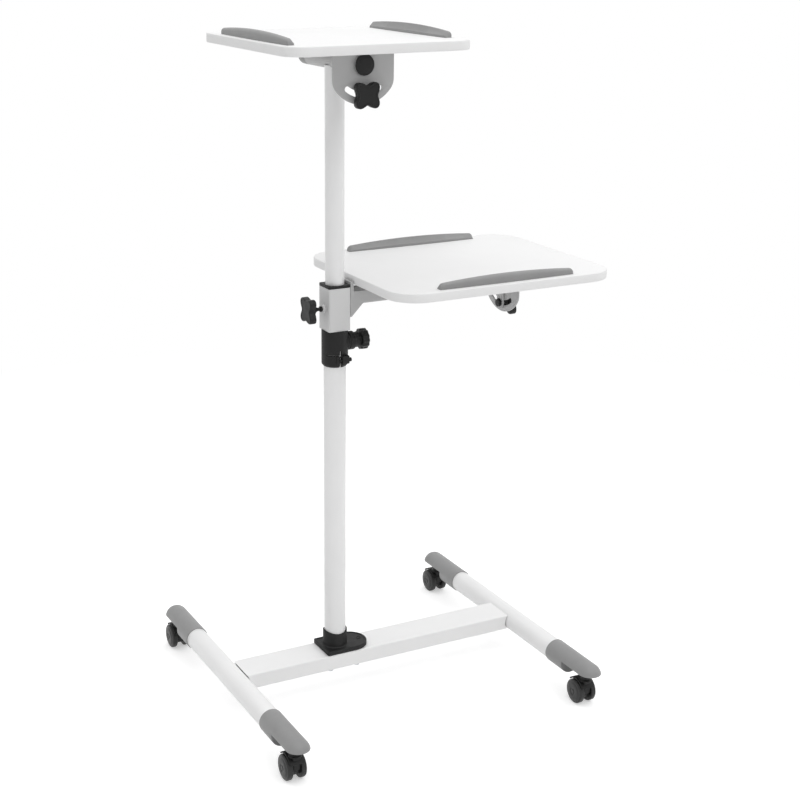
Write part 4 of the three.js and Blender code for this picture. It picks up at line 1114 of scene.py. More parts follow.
class CART_OT_clamp_collar(Operator):
    """Moulded collar with its slits, its screw boss and its pinch lug"""
    bl_idname = "cart.clamp_collar"
    bl_label = "Clamp collar"

    def execute(self, context):
        add_piece("collar_moulding", self.collar(), frame_at(MAST.x, 0, COLLAR_LOW.z), "base",
                  [structural_plastic()], ["clamp_collar"])
        low, high = node_box("collar_pinch_screw")
        middle = (low + high) / 2
        add_piece("pinch_screw", self.pinch_screw(high.x - low.x),
                  frame_at(low.x, middle.y, middle.z) @ ALONG_X, "base",
                  [black_plastic()], ["collar_pinch_screw"])
        return {"FINISHED"}

    def collar(self):
        """The solids are joined one by one, so that every join and cut stays closed."""
        height, radius = COLLAR_HEIGHT, COLLAR_RADIUS
        foot_edge, chamfer_edge, top_edge = COLLAR_EDGES
        body = lathe([(0, 0), (radius - COLLAR_CHAMFER, 0, foot_edge),
                      (radius, COLLAR_CHAMFER, chamfer_edge), (radius, height, top_edge),
                      (0, height)])
        at_boss = frame_at(0, 0, height - BOSS_DROP)
        boss = turned(lathe([(0, 0), (BOSS_RADIUS, 0), *moved(BOSS_GROOVE, BOSS_RADIUS),
                             *moved(BOSS_SHOULDER, BOSS_RADIUS, COLLAR_REACH),
                             (0, COLLAR_REACH)], HUB_FACETS, 3), at_boss, ALONG_X)
        lug = shifted(block(*LUG_SIZE, LUG_EDGE), *LUG_PLACE)
        land = shifted(block(*LAND_SIZE, LAND_EDGE), *LAND_PLACE)
        low, step, top = -OVERRUN, height - COLLAR_STEP, height + OVERRUN
        lower, upper = LOWER_RADIUS + SEAT_GAP, UPPER_RADIUS + COLLAR_GUIDE_GAP
        tubes = lathe([(0, low), (lower, low), (lower, step), (upper, step), (upper, top),
                       (0, top)])
        screw = turned(bore(CLAMP_SCREW_HOLE, COLLAR_REACH + OVERRUN, SHANK_FACETS),
                       at_boss, ALONG_X)
        slit = shifted(block(*SLIT_SIZE), *SLIT_PLACE)
        cross_slit = shifted(block(*CROSS_SLIT_SIZE), *CROSS_SLIT_PLACE)
        hole = turned(bore(PINCH_HOLE, PINCH_HOLE_LENGTH, HOLE_FACETS),
                      frame_at(*PINCH_HOLE_PLACE), ALONG_X)
        for solid in (boss, lug, land):
            body = combined(body, joins=[solid])
        return combined(combined(body, cuts=[tubes, screw]), cuts=[slit, cross_slit, hole])

    def pinch_screw(self, length):
        """A socket-head screw with its head at the far end."""
        shank = length - PINCH_HEAD_HEIGHT
        lower_edge, upper_edge = PINCH_HEAD_EDGES
        screw = lathe([(0, 0), (PINCH_SCREW_RADIUS, 0), (PINCH_SCREW_RADIUS, shank),
                       (PINCH_HEAD_RADIUS, shank, lower_edge),
                       (PINCH_HEAD_RADIUS, length, upper_edge), (0, length)], BOSS_FACETS, 3)
        key = shifted(hexagon_prism(PINCH_KEY_CORNERS, OVERRUN), 0, 0, length - PINCH_KEY_DEPTH)
        return combined(screw, cuts=[key])


# Knobs, drawn round Z with the clamped face at Z = 0 and the grip above it

LOBE_RADIUS = 20.2
LOBE_WAVE = 5.3
LOBE_SIDE_RELIEF = 2.6
LOBES = 4
LOBE_POINTS = 120
LOBED_GRIP_HEIGHT = 12
LOBED_GRIP_EDGE = 2.0
LOBED_GRIP_RISE = 5
# The shallow panel in the front of the grip
GRIP_BORDER = 1.0
GRIP_SLOPE = 0.4
GRIP_SINK = 0.6
LOBED_HUB = [(0, 0), (7.5, 0, 0.6), (9, 2.2, 1.0), (10.5, 7, 0.5), (0, 7)]
TILT_BOLT_HOLE = 4.4
TILT_BOLT_HOLE_LENGTH = 16
SCREW_NECK = [(0, -5), (3.1, -5, 0.2), (6, 0, 0.8), (6, 2), (0, 2)]
SCREW_FOOT_RADIUS = 4.8
SCREW_FOOT_LENGTH = 3.5
SCREW_FOOT_EDGE = 0.8
SCREW_FOOT_PLACE = 13
SLEEVE_SCREW_RADIUS = 3.0
SLEEVE_SCREW_OVERLAP = 2.5
FLUTED_RADIUS = 18
FLUTED_FACETS = 240
FLUTED_GRIP = [(0, 0), (FLUTED_RADIUS, 0, 2.0), (FLUTED_RADIUS, 13, 2.0), (13.0, 13, 0.4),
               (12.4, 12, 0.4), (0, 12)]
FLUTED_GRIP_RISE = 3
FLUTES = 12
FLUTE_DEPTH = 0.6
# Only what lies further out than this is fluted
FLUTE_START = 14
FLUTED_NECK = [(0, 0), (10, 0, 0.6), (9.2, 1.6, 1.0), (10.5, 3.6, 0.2), (0, 3.6)]
COLLAR_SCREW_RADIUS = 4.0
COLLAR_SCREW_OVERLAP = 1.5
COLLAR_KNOB_GAP = 0.5
SLEEVE_KNOB_STAND_OFF = 37.5


def lobed_outline():
    """Four lobes round a circle, with shallower waists at the two sides."""
    points = []
    for step in range(LOBE_POINTS):
        angle = FULL_TURN * step / LOBE_POINTS
        side_relief = LOBE_SIDE_RELIEF * max(0, math.cos(2 * angle)) ** 2
        radius = LOBE_RADIUS - LOBE_WAVE * math.cos(LOBES * angle) + side_relief
        points.append((radius * math.cos(angle), radius * math.sin(angle)))
    return points


def lobed_grip(holes=()):
    """A four-lobed grip on a conical hub, with a shallow panel in its front."""
    grip = shifted(plate(lobed_outline(), LOBED_GRIP_HEIGHT, edge=LOBED_GRIP_EDGE,
                         edge_segments=4), 0, 0, LOBED_GRIP_RISE)
    front = max(grip.faces, key=lambda face: face.calc_center_median().z)
    for width, depth in ((GRIP_BORDER, 0.0), (GRIP_SLOPE, -GRIP_SINK)):
        bmesh.ops.inset_region(grip, faces=[front], thickness=width, depth=depth,
                               use_even_offset=True)
    return combined(grip, joins=[lathe(LOBED_HUB, HUB_FACETS, 3)], cuts=holes)


def tilt_knob():
    """The lobed grip with a hole for the clamp bolt."""
    hole = bore(TILT_BOLT_HOLE, TILT_BOLT_HOLE_LENGTH, SHANK_FACETS)
    return lobed_grip([shifted(hole, 0, 0, -OVERRUN)])


def sleeve_knob(screw_length):
    """The lobed grip on a neck that narrows to its screw, with a small foot close to the nut."""
    neck = lathe(SCREW_NECK, BOSS_FACETS, 3)
    foot = shifted(rod(SCREW_FOOT_RADIUS, SCREW_FOOT_LENGTH, SCREW_FOOT_EDGE, BOSS_FACETS),
                   0, 0, -SCREW_FOOT_PLACE)
    screw = threaded(SLEEVE_SCREW_RADIUS, screw_length + SLEEVE_SCREW_OVERLAP, FINE_PITCH)
    return merged(lobed_grip(), neck, foot, shifted(screw, 0, 0, -screw_length))


def collar_knob(screw_length):
    """A round grip with a fluted rim on a waisted neck."""
    grip = shifted(lathe(FLUTED_GRIP, FLUTED_FACETS), 0, 0, FLUTED_GRIP_RISE)
    for vert in grip.verts:
        radius = math.hypot(vert.co.x, vert.co.y)
        if radius > FLUTE_START:
            turn = math.atan2(vert.co.y, vert.co.x)
            wave = FLUTE_DEPTH * (1 - math.cos(FLUTES * turn))
            vert.co.x *= 1 - wave / radius
            vert.co.y *= 1 - wave / radius
    screw = threaded(COLLAR_SCREW_RADIUS, screw_length + COLLAR_SCREW_OVERLAP)
    return merged(grip, lathe(FLUTED_NECK, HUB_FACETS, 3), shifted(screw, 0, 0, -screw_length))


class CART_OT_knobs(Operator):
    """The round collar knob and the three four-lobed knobs"""
    bl_idname = "cart.knobs"
    bl_label = "Knobs"

    def execute(self, context):
        tube = UPPER_RADIUS + SEAT_GAP
        stand_off = COLLAR_REACH + COLLAR_KNOB_GAP
        self.add_knob("knob_collar", collar_knob(stand_off - tube),
                      frame_at(MAST.x + stand_off, 0, COLLAR_HIGH.z - BOSS_DROP) @ ALONG_X,
                      "collar_clamp", "collar_knob")
        stand_off = SLEEVE_KNOB_STAND_OFF
        self.add_knob("knob_sleeve", sleeve_knob(stand_off - tube),
                      frame_at(MAST.x - stand_off, 0, node_middle("sleeve_knob").z) @ AGAINST_X,
                      "sleeve_clamp", "sleeve_knob")
        for name, head in HEADS.items():
            place = head["frame"] @ frame_at(0, -TILT_KNOB_REACH, -SLOT_RADIUS) @ AGAINST_Y
            self.add_knob(f"knob_{name}_tilt", tilt_knob(), place, f"{name}_knob",
                          f"{name}_tilt_knob")
        return {"FINISHED"}

    def add_knob(self, name, knob, place, body, node):
        add_piece(name, knob, place, body, [black_plastic()], [node])


# Sleeve, lining and arm

SLEEVE_LOW, SLEEVE_HIGH = node_box("shelf_sleeve")
SLEEVE_WIDTH = 40
SLEEVE_INSIDE = 37
SLEEVE_CORNER = 3.2
SLEEVE_INNER_CORNER = 1.7
NUT = [(0, 0), (7.4, 0), (7.4, 0.8, 0.3), (6, 2.0, 1.2), (6, 4.0, 0.6), (0, 4.0)]
SLEEVE_SCREW_HOLE = 3.4
SLEEVE_SCREW_HOLE_LENGTH = 40
LINING_WIDTH = 36.4
LINING_CORNER = 1.2
# How far the lining reaches up into its flange
LINING_OVERLAP = 1
FLANGE_EDGE = 0.8
GUIDE_GAP = 0.4
GUIDE_OVERRUN = 20
LEAD_IN = 1.2
LEAD_IN_RISE = 0.1


class CART_OT_sleeve(Operator):
    """Square steel sleeve with its welded nut, and the moulded lining with its flange"""
    bl_idname = "cart.sleeve"
    bl_label = "Sleeve"

    def execute(self, context):
        add_piece("sleeve_tube", self.sleeve(), frame_at(MAST.x, 0, SLEEVE_LOW.z), "carriage",
                  [sleeve_enamel()], ["shelf_sleeve"])
        low, high = node_box("sleeve_lining")
        add_piece("lining_moulding", self.lining(low.z, high.z), frame_at(MAST.x, 0, low.z),
                  "carriage", [structural_plastic()], ["sleeve_lining"])
        return {"FINISHED"}

    def screw_hole(self, base):
        """The hole for the knob's screw in a piece whose foot is at a height."""
        height = node_middle("sleeve_knob").z - base
        return turned(bore(SLEEVE_SCREW_HOLE, SLEEVE_SCREW_HOLE_LENGTH, SHANK_FACETS),
                      frame_at(-SLEEVE_SCREW_HOLE_LENGTH, 0, height), ALONG_X)

    def sleeve(self):
        height = SLEEVE_HIGH.z - SLEEVE_LOW.z
        wall = plate(square(SLEEVE_WIDTH), height, radii=SLEEVE_CORNER)
        inside = shifted(plate(square(SLEEVE_INSIDE), height + 2 * OVERRUN,
                               radii=SLEEVE_INNER_CORNER, segments=5), 0, 0, -OVERRUN)
        nut_height = node_middle("sleeve_knob").z - SLEEVE_LOW.z
        nut = turned(lathe(NUT, BOSS_FACETS, 3), frame_at(-SLEEVE_WIDTH / 2, 0, nut_height),
                     AGAINST_X)
        return combined(wall, joins=[nut], cuts=[inside, self.screw_hole(SLEEVE_LOW.z)])

    def lining(self, low, high):
        """A square insert under a flange that lies on the sleeve, drawn from its own foot."""
        flange_foot = SLEEVE_HIGH.z + SEAT_GAP
        insert = plate(square(LINING_WIDTH), flange_foot - low + LINING_OVERLAP,
                       radii=LINING_CORNER, segments=4)
        flange = shifted(plate(square(SLEEVE_WIDTH), high - flange_foot, radii=SLEEVE_CORNER,
                               edge=FLANGE_EDGE, edge_segments=3), 0, 0, flange_foot - low)
        radius = UPPER_RADIUS + GUIDE_GAP
        guide = shifted(bore(radius, SLEEVE_HIGH.z - SLEEVE_LOW.z + GUIDE_OVERRUN),
                        0, 0, -OVERRUN)
        lead_in = shifted(lathe([(0, 0), (radius, 0), (radius + LEAD_IN, LEAD_IN), (0, LEAD_IN)],
                                TUBE_FACETS, 1), 0, 0, high - low - LEAD_IN + LEAD_IN_RISE)
        return combined(insert, joins=[flange], cuts=[guide, lead_in, self.screw_hole(low)])


SHEET = 2.5
# Heights of the arm's corners over the foot of the sleeve
ARM_LOW = 22
ARM_UNDERSIDE = 45
ARM_TOP = 65
ARM_GUSSET_REACH = 25
ARM_TAB_WIDTH = 6
# The tab stands higher than the CAD's by this
ARM_TAB_RISE = 5
ARM_ROUNDINGS = [0.4, 1.0, 4, 3, 3, 1.5, 2, 0.4]
ARM_FOLD = 1.8
FOLD_MARGIN = 0.05
ARM_WEB_OVERLAP = 3


class CART_OT_shelf_arm(Operator):
    """Folded steel arm that carries the lower tilt head"""
    bl_idname = "cart.shelf_arm"
    bl_label = "Shelf arm"

    def execute(self, context):
        edge = context.scene.cart_sizes.steel_edge
        low, high = node_box("shelf_arm")
        start, end = low.x - MAST.x, high.x - MAST.x
        base = SLEEVE_LOW.z
        foot, underside, top = base + ARM_LOW, base + ARM_UNDERSIDE, base + ARM_TOP
        tab, tab_end = high.z + ARM_TAB_RISE, start + ARM_TAB_WIDTH
        corners = [(start, foot), (start + SHEET, foot), (start + ARM_GUSSET_REACH, underside),
                   (end, underside), (end, top), (tab_end, top), (tab_end, tab), (start, tab)]
        clear = high.y - low.y - 2 * SHEET
        cheeks = [shifted(turned(plate(corners, SHEET, radii=ARM_ROUNDINGS, segments=4, edge=edge),
                                 OUTLINE_IN_XZ),
                          0, side * (clear + SHEET) / 2 + SHEET / 2, 0) for side in (-1, 1)]
        web = shifted(block(SHEET, clear + ARM_WEB_OVERLAP, tab - base - ARM_LOW, edge),
                      start + SHEET / 2, 0, foot)
        arm = combined(cheeks[0], joins=[cheeks[1], web])

        def on_fold(seam):
            return all(abs(v.co.x - start) < FOLD_MARGIN
                       and abs(abs(v.co.y) - (clear / 2 + SHEET)) < FOLD_MARGIN
                       for v in seam.verts)

        soften(arm, ARM_FOLD, 3, PLATE_SHARP_ANGLE, where=on_fold)
        add_piece("arm_sheet", arm, STAND, "carriage", [grey_enamel()],
                  ["shelf_arm"])
        return {"FINISHED"}


# Tilt heads, drawn round the pivot axis with the slotted bracket at the -Y end

BRACKET_REACH = 100
BRACKET_TOP = 21.2
BRACKET_HALF_WIDTH = 53
BRACKET_ARC = 61
BRACKET_CORNER = 25
BRACKET_ARC_STEPS = 50
BRACKET_CORNER_STEPS = 14
EAR_STEPS = 40
SLOT_RADIUS = 45.5
SLOT_HALF_WIDTH = 4.5
SLOT_HALF_TURN = math.radians(43)
SLOT_OUTER_STEPS = 40
SLOT_INNER_STEPS = 36
SLOT_END_STEPS = 12
BEARING_GAP = 0.4
PIVOT_WALL = 2
PIVOT_BORE = PIVOT_RADIUS - PIVOT_WALL
PIVOT_FRONT = 103
PLUG_RADIUS = PIVOT_BORE - SEAT_GAP
PLUG_DEPTH = 10
TILT_KNOB_REACH = 100.5
# Of each head: its frame, where its tube ends, its rear ear with its radius and its bearing, the
# body that carries it, the body of its shelf and the node of its front cap
HEADS = {
    "top": {"frame": TOP_HEAD, "rear": 80.5, "ear": 83.5, "ear_radius": PIVOT_RADIUS,
            "bearing": 12.4, "carrier": "upper_mast", "shelf": "top_shelf",
            "cap": "top_pivot_cap_front"},
    "lower": {"frame": LOWER_HEAD, "rear": 207.9, "ear": 100, "ear_radius": 21,
              "bearing": PIVOT_RADIUS + BEARING_GAP, "carrier": "carriage",
              "shelf": "lower_shelf", "cap": "lower_pivot_cap"},
}
# The base plate of a bracket, from its wide front to its tail at the ear
BASE_SHOULDER = 60
TAIL_HALF_WIDTH = 25
TAIL_LENGTH = 40
BASE_ROUNDINGS = [0.6, 0.6, 8, 10, 4, 4, 10, 8]
SCREW_HOLE = 2.3
FRONT_SCREWS = ((-38, -75), (38, -75))
TAIL_SCREWS = ((-17, -25), (17, -25))
PAN_HEAD = [(0, -2.4), (3.6, -2.4, 1.4), (3.9, 0, 0.2), (2.0, 0), (2.0, 9.5), (0, 10.5)]
RECESS = (4.2, 0.9, 1.4)
RECESS_DROP = 2.7
# Each screw of a bracket is turned on by this much from the one before
SCREW_TURN = 0.7


def slot_outline():
    """The curved slot: two arcs round the pivot with round ends."""
    reach = SLOT_HALF_TURN - math.asin(SLOT_HALF_WIDTH / SLOT_RADIUS)
    first, last = -QUARTER_TURN - reach, -QUARTER_TURN + reach
    start, end = [(SLOT_RADIUS * math.cos(turn), SLOT_RADIUS * math.sin(turn))
                  for turn in (first, last)]
    half = SLOT_HALF_WIDTH
    return (arc(0, 0, SLOT_RADIUS + half, first, last, SLOT_OUTER_STEPS)
            + arc(*end, half, last, last + HALF_TURN, SLOT_END_STEPS)[1:-1]
            + arc(0, 0, SLOT_RADIUS - half, last, first, SLOT_INNER_STEPS)
            + arc(*start, half, first + HALF_TURN, first + FULL_TURN, SLOT_END_STEPS)[1:-1])


def screw_places(ear):
    return [*FRONT_SCREWS, *[(x, ear + y) for x, y in TAIL_SCREWS]]


class CART_OT_brackets(Operator):
    """Folded shelf brackets with the curved slot, and the screws under the boards"""
    bl_idname = "cart.brackets"
    bl_label = "Brackets"

    def execute(self, context):
        edge = context.scene.cart_sizes.steel_edge
        for name, head in HEADS.items():
            add_piece(f"{name}_bracket_sheet", self.bracket(head, edge), head["frame"],
                      head["shelf"], [grey_enamel()], [f"{name}_shelf_bracket"])
            for count, (x, y) in enumerate(screw_places(head["ear"]), 1):
                place = frame_at(x, y, BRACKET_TOP - SHEET, SCREW_TURN * count)
                add_piece(f"{name}_board_screw_{count}", self.screw(), head["frame"] @ place,
                          head["shelf"], [zinc_steel()])
        return {"FINISHED"}

    def bracket(self, head, edge):
        half, ear, radius = BRACKET_HALF_WIDTH, head["ear"], head["ear_radius"]
        x = half - BRACKET_CORNER
        y = -math.sqrt((BRACKET_ARC - BRACKET_CORNER) ** 2 - x ** 2)
        slope = math.atan2(y, x)
        corners = [(-half, BRACKET_TOP),
                   *arc(-x, y, BRACKET_CORNER, -HALF_TURN, -HALF_TURN - slope,
                        BRACKET_CORNER_STEPS),
                   *arc(0, 0, BRACKET_ARC, -HALF_TURN - slope, slope, BRACKET_ARC_STEPS)[1:-1],
                   *arc(x, y, BRACKET_CORNER, slope, 0, BRACKET_CORNER_STEPS),
                   (half, BRACKET_TOP)]
        pivot_hole = circle(PIVOT_RADIUS + BEARING_GAP)[::-1]
        front = self.upright(corners, [pivot_hole, slot_outline()], SHEET - BRACKET_REACH, edge)
        corners = [(radius, BRACKET_TOP), (-radius, BRACKET_TOP),
                   *arc(0, 0, radius, HALF_TURN, FULL_TURN, EAR_STEPS)]
        rear = self.upright(corners, [circle(head["bearing"])], ear, edge)
        tail, neck = TAIL_HALF_WIDTH, ear - TAIL_LENGTH
        corners = [(-half, -BRACKET_REACH), (half, -BRACKET_REACH), (half, -BASE_SHOULDER),
                   (tail, neck), (tail, ear), (-tail, ear), (-tail, neck), (-half, -BASE_SHOULDER)]
        holes = [circle(SCREW_HOLE, *place, HOLE_FACETS) for place in screw_places(ear)]
        base = shifted(plate(corners, SHEET, holes, radii=BASE_ROUNDINGS, edge=edge),
                       0, 0, BRACKET_TOP - SHEET)
        return combined(front, joins=[rear, base])

    def upright(self, corners, holes, y, edge):
        """A sheet across the pivot axis."""
        return shifted(turned(plate(corners, SHEET, holes, edge=edge), OUTLINE_IN_XZ), 0, y, 0)

    def screw(self):
        """A pan-head screw with a cross recess, its head down and its shank in the board."""
        length, width, depth = RECESS
        recess = [shifted(block(*size, depth), 0, 0, -RECESS_DROP)
                  for size in ((length, width), (width, length))]
        return combined(lathe(PAN_HEAD, BOSS_FACETS), cuts=recess)


LUG_PLATE = 3
LUG_REAR = 94
LUG_HALF_WIDTH = 10
LUG_TOP = 11
LUG_STEPS = 24
CLAMP_HOLE = 4.3
WELD_RADIUS = 1.3
WELD_HALF_WIDTH = 9.0
WELD_STEPS = 12
WELD_RISE = 0.3
WELD_REACH = 93.6
CLAMP_HEAD = (15, 5)
CLAMP_HEAD_REACH = 93.7
CLAMP_BOLT_RADIUS = 4.0
CLAMP_BOLT_TIP = 113.2
CLAMP_BOLT_OVERLAP = 2.5
FRONT_CAP_REACH = 103.3
FRONT_CAP_RIM = PIVOT_RADIUS + 0.8
FRONT_CAP_PLUG_WALL = 2
FRONT_CAP = [(0, 3.0), (FRONT_CAP_RIM - 5.8, 3.0, 2.0), (FRONT_CAP_RIM - 4.4, 2.5, 0.4),
             (FRONT_CAP_RIM, 2.2, 1.2), (FRONT_CAP_RIM, 0, 0.3), (PLUG_RADIUS, 0),
             (PLUG_RADIUS, -PLUG_DEPTH, 0.5), (PLUG_RADIUS - FRONT_CAP_PLUG_WALL, -PLUG_DEPTH),
             (PLUG_RADIUS - FRONT_CAP_PLUG_WALL, -0.2), (0, -0.2)]
# The rear cap stands off the tube by a narrow neck
REAR_CAP_NECK = 3.5
REAR_CAP_LENGTH = 25.5
REAR_CAP = [(0, REAR_CAP_LENGTH), (PIVOT_RADIUS - 4, REAR_CAP_LENGTH, 1.0),
            (PIVOT_RADIUS, REAR_CAP_LENGTH - 1.5, 1.4), (PIVOT_RADIUS, REAR_CAP_NECK, 0.5),
            (12, REAR_CAP_NECK), (12, 0), (PLUG_RADIUS, 0), (PLUG_RADIUS, -PLUG_DEPTH, 0.5),
            (0, -PLUG_DEPTH)]


class CART_OT_pivots(Operator):
    """Pivot tubes with their lugs, end caps and clamp bolts"""
    bl_idname = "cart.pivots"
    bl_label = "Pivots"

    def execute(self, context):
        sizes = context.scene.cart_sizes
        at_pivot = Matrix.Identity(4)
        at_bolt = frame_at(0, CLAMP_HEAD[1] - CLAMP_HEAD_REACH, -SLOT_RADIUS) @ AGAINST_Y
        at_cap = frame_at(0, -FRONT_CAP_REACH, 0) @ AGAINST_Y
        for name, head in HEADS.items():
            tube = self.tube(head["rear"], sizes.facets, sizes.steel_edge)
            for piece, bm, place, slot, material, replaced in (
                    ("pivot_pipe", tube, at_pivot, "grey_enamel", grey_enamel(),
                     [f"{name}_pivot_tube"]),
                    ("lug_weld", bead(self.lug_seam(), WELD_RADIUS), at_pivot, "grey_enamel",
                     grey_enamel(), []),
                    ("clamp_screw", self.clamp_bolt(), at_bolt, "black_plastic", black_plastic(),
                     [f"{name}_clamp_bolt"]),
                    ("cap_front", lathe(FRONT_CAP), at_cap, "black_plastic", black_plastic(),
                     [head["cap"]])):
                add_piece(f"{name}_{piece}", bm, head["frame"] @ place, head["carrier"],
                          [material], replaced)
        top = HEADS["top"]
        place = top["frame"] @ frame_at(0, top["rear"], 0) @ ALONG_Y
        add_piece("top_cap_rear", lathe(REAR_CAP), place, top["carrier"],
                  [grey_plastic()], ["top_pivot_cap_rear"])
        return {"FINISHED"}

    def tube(self, rear, facets, edge):
        """The pivot tube with the lug that the clamp bolt goes through."""
        length = PIVOT_FRONT + rear
        tube = shifted(turned(pipe(PIVOT_RADIUS, PIVOT_BORE, length, facets), ALONG_Y),
                       0, -PIVOT_FRONT, 0)
        corners = [(LUG_HALF_WIDTH, -LUG_TOP), (-LUG_HALF_WIDTH, -LUG_TOP),
                   *arc(0, -SLOT_RADIUS, LUG_HALF_WIDTH, HALF_TURN, FULL_TURN, LUG_STEPS)]
        hole = circle(CLAMP_HOLE, 0, -SLOT_RADIUS, SHANK_FACETS)
        lug = turned(plate(corners, LUG_PLATE, [hole], edge=edge), OUTLINE_IN_XZ)
        shifted(lug, 0, -LUG_REAR, 0)
        inside = shifted(turned(bore(PIVOT_BORE, length + 2 * OVERRUN, facets), ALONG_Y),
                         0, -PIVOT_FRONT - OVERRUN, 0)
        return combined(tube, joins=[lug], cuts=[inside])

    def lug_seam(self):
        """Path of the weld between the lug and its tube, on the side away from the bracket."""
        steps = [2 * step / WELD_STEPS - 1 for step in range(WELD_STEPS + 1)]
        return [(x, -WELD_REACH, -math.sqrt((PIVOT_RADIUS + WELD_RISE) ** 2 - x ** 2))
                for x in (WELD_HALF_WIDTH * step for step in steps)]

    def clamp_bolt(self):
        length = CLAMP_BOLT_TIP - CLAMP_HEAD_REACH + CLAMP_BOLT_OVERLAP
        return merged(hex_head(*CLAMP_HEAD),
                      shifted(threaded(CLAMP_BOLT_RADIUS, length), 0, 0, CLAMP_BOLT_OVERLAP))


# Boards and stop bars

BOARD_LOW = 21.5
BOARD_THICKNESS = 15
BOARD_TOP = BOARD_LOW + BOARD_THICKNESS
BOARD_CORNER_SEGMENTS = 24
BOARD_SCREW_DEPTH = 10
SEAT_STEPS = 24
# A face counts as an edge of the board where its normal rises less than this
FLAT_NORMAL = 0.75
STOP_LENGTH = 256
STOP_WIDTH = 16
STOP_TIP_WIDTH = 12.5
STOP_CROWN = 15.5
STOP_END_HEIGHT = 10
STOP_REBATE = 1
# Of each board: its size and corner, its middle along the pivot, and each stop bar's turn and place
BOARDS = {
    "top": {"width": 318, "depth": 346, "radius": 33, "middle": 0,
            "stops": {"left": (-QUARTER_TURN, -140, -11), "right": (QUARTER_TURN, 140, 11)}},
    "lower": {"width": 358, "depth": 418, "radius": 52, "middle": -6,
              "stops": {"front": (-QUARTER_TURN, -160, -3), "rear": (QUARTER_TURN, 160, -3)}},
}


def stop_half_width(share):
    """Half a stop bar's width at a share of its half length."""
    return (STOP_WIDTH - (STOP_WIDTH - STOP_TIP_WIDTH) * share ** 2) / 2


class CART_OT_boards(Operator):
    """Shelf boards with rounded corners, each with two shallow seats for the stop bars"""
    bl_idname = "cart.boards"
    bl_label = "Boards"

    def execute(self, context):
        edge = context.scene.cart_sizes.board_edge
        for name, board in BOARDS.items():
            head = HEADS[name]
            x, y = board["width"] / 2, board["depth"] / 2
            slab = plate([(-x, -y), (x, -y), (x, y), (-x, y)], BOARD_THICKNESS,
                         radii=board["radius"], segments=BOARD_CORNER_SEGMENTS, edge=edge,
                         edge_segments=3)
            shifted(slab, 0, board["middle"], BOARD_LOW)
            seats = [turned(self.seat(), frame_at(*place, BOARD_TOP - STOP_REBATE, turn))
                     for turn, *place in board["stops"].values()]
            holes = [shifted(bore(SCREW_HOLE, BOARD_SCREW_DEPTH + OVERRUN, HOLE_FACETS),
                             *place, BOARD_LOW - OVERRUN) for place in screw_places(head["ear"])]
            slab = combined(slab, cuts=[*seats, *holes])
            for face in slab.faces:
                face.material_index = 1 if abs(face.normal.z) < FLAT_NORMAL else 0
            add_piece(f"{name}_board", slab, head["frame"], head["shelf"],
                      [white_laminate(), board_edging()], [f"{name}_shelf_board"])
        return {"FINISHED"}

    def seat(self):
        """The recess under a stop bar, with its outline and a gap round it."""
        reach = STOP_LENGTH / 2 + SEAT_GAP
        shares = [2 * step / SEAT_STEPS - 1 for step in range(SEAT_STEPS + 1)]
        near = [(share * reach, -stop_half_width(share) - SEAT_GAP) for share in shares]
        far = [(x, -y) for x, y in reversed(near)]
        return plate(near + far, STOP_REBATE + OVERRUN)


STOP_FOOT_SHARE = 0.35
STOP_FOOT = STOP_CROWN * STOP_FOOT_SHARE
# The inner side leans in to a narrow crown, in steps that the scoop bends
LEAN_SHARE = 0.9
LEAN_STEPS = 8
STOP_CUTS = 63
# Roundings of the section: inner foot, inner bend, crown's inner and outer edge, outer foot
STOP_ROUNDINGS = [0.2, 0.6, *[0] * (LEAN_STEPS - 1), 1.0, 6.8, 0.2]
STOP_SMOOTH_ANGLE = 30
STOP_END_ROUNDING = 6
END_NARROWING_SHARE = 0.35
SCOOP_DEPTH = 3.4
SCOOP_REACH_SHARE = 0.86
SCOOP_RISE_POWER = 0.7
SCOOP_MARGIN = 0.4


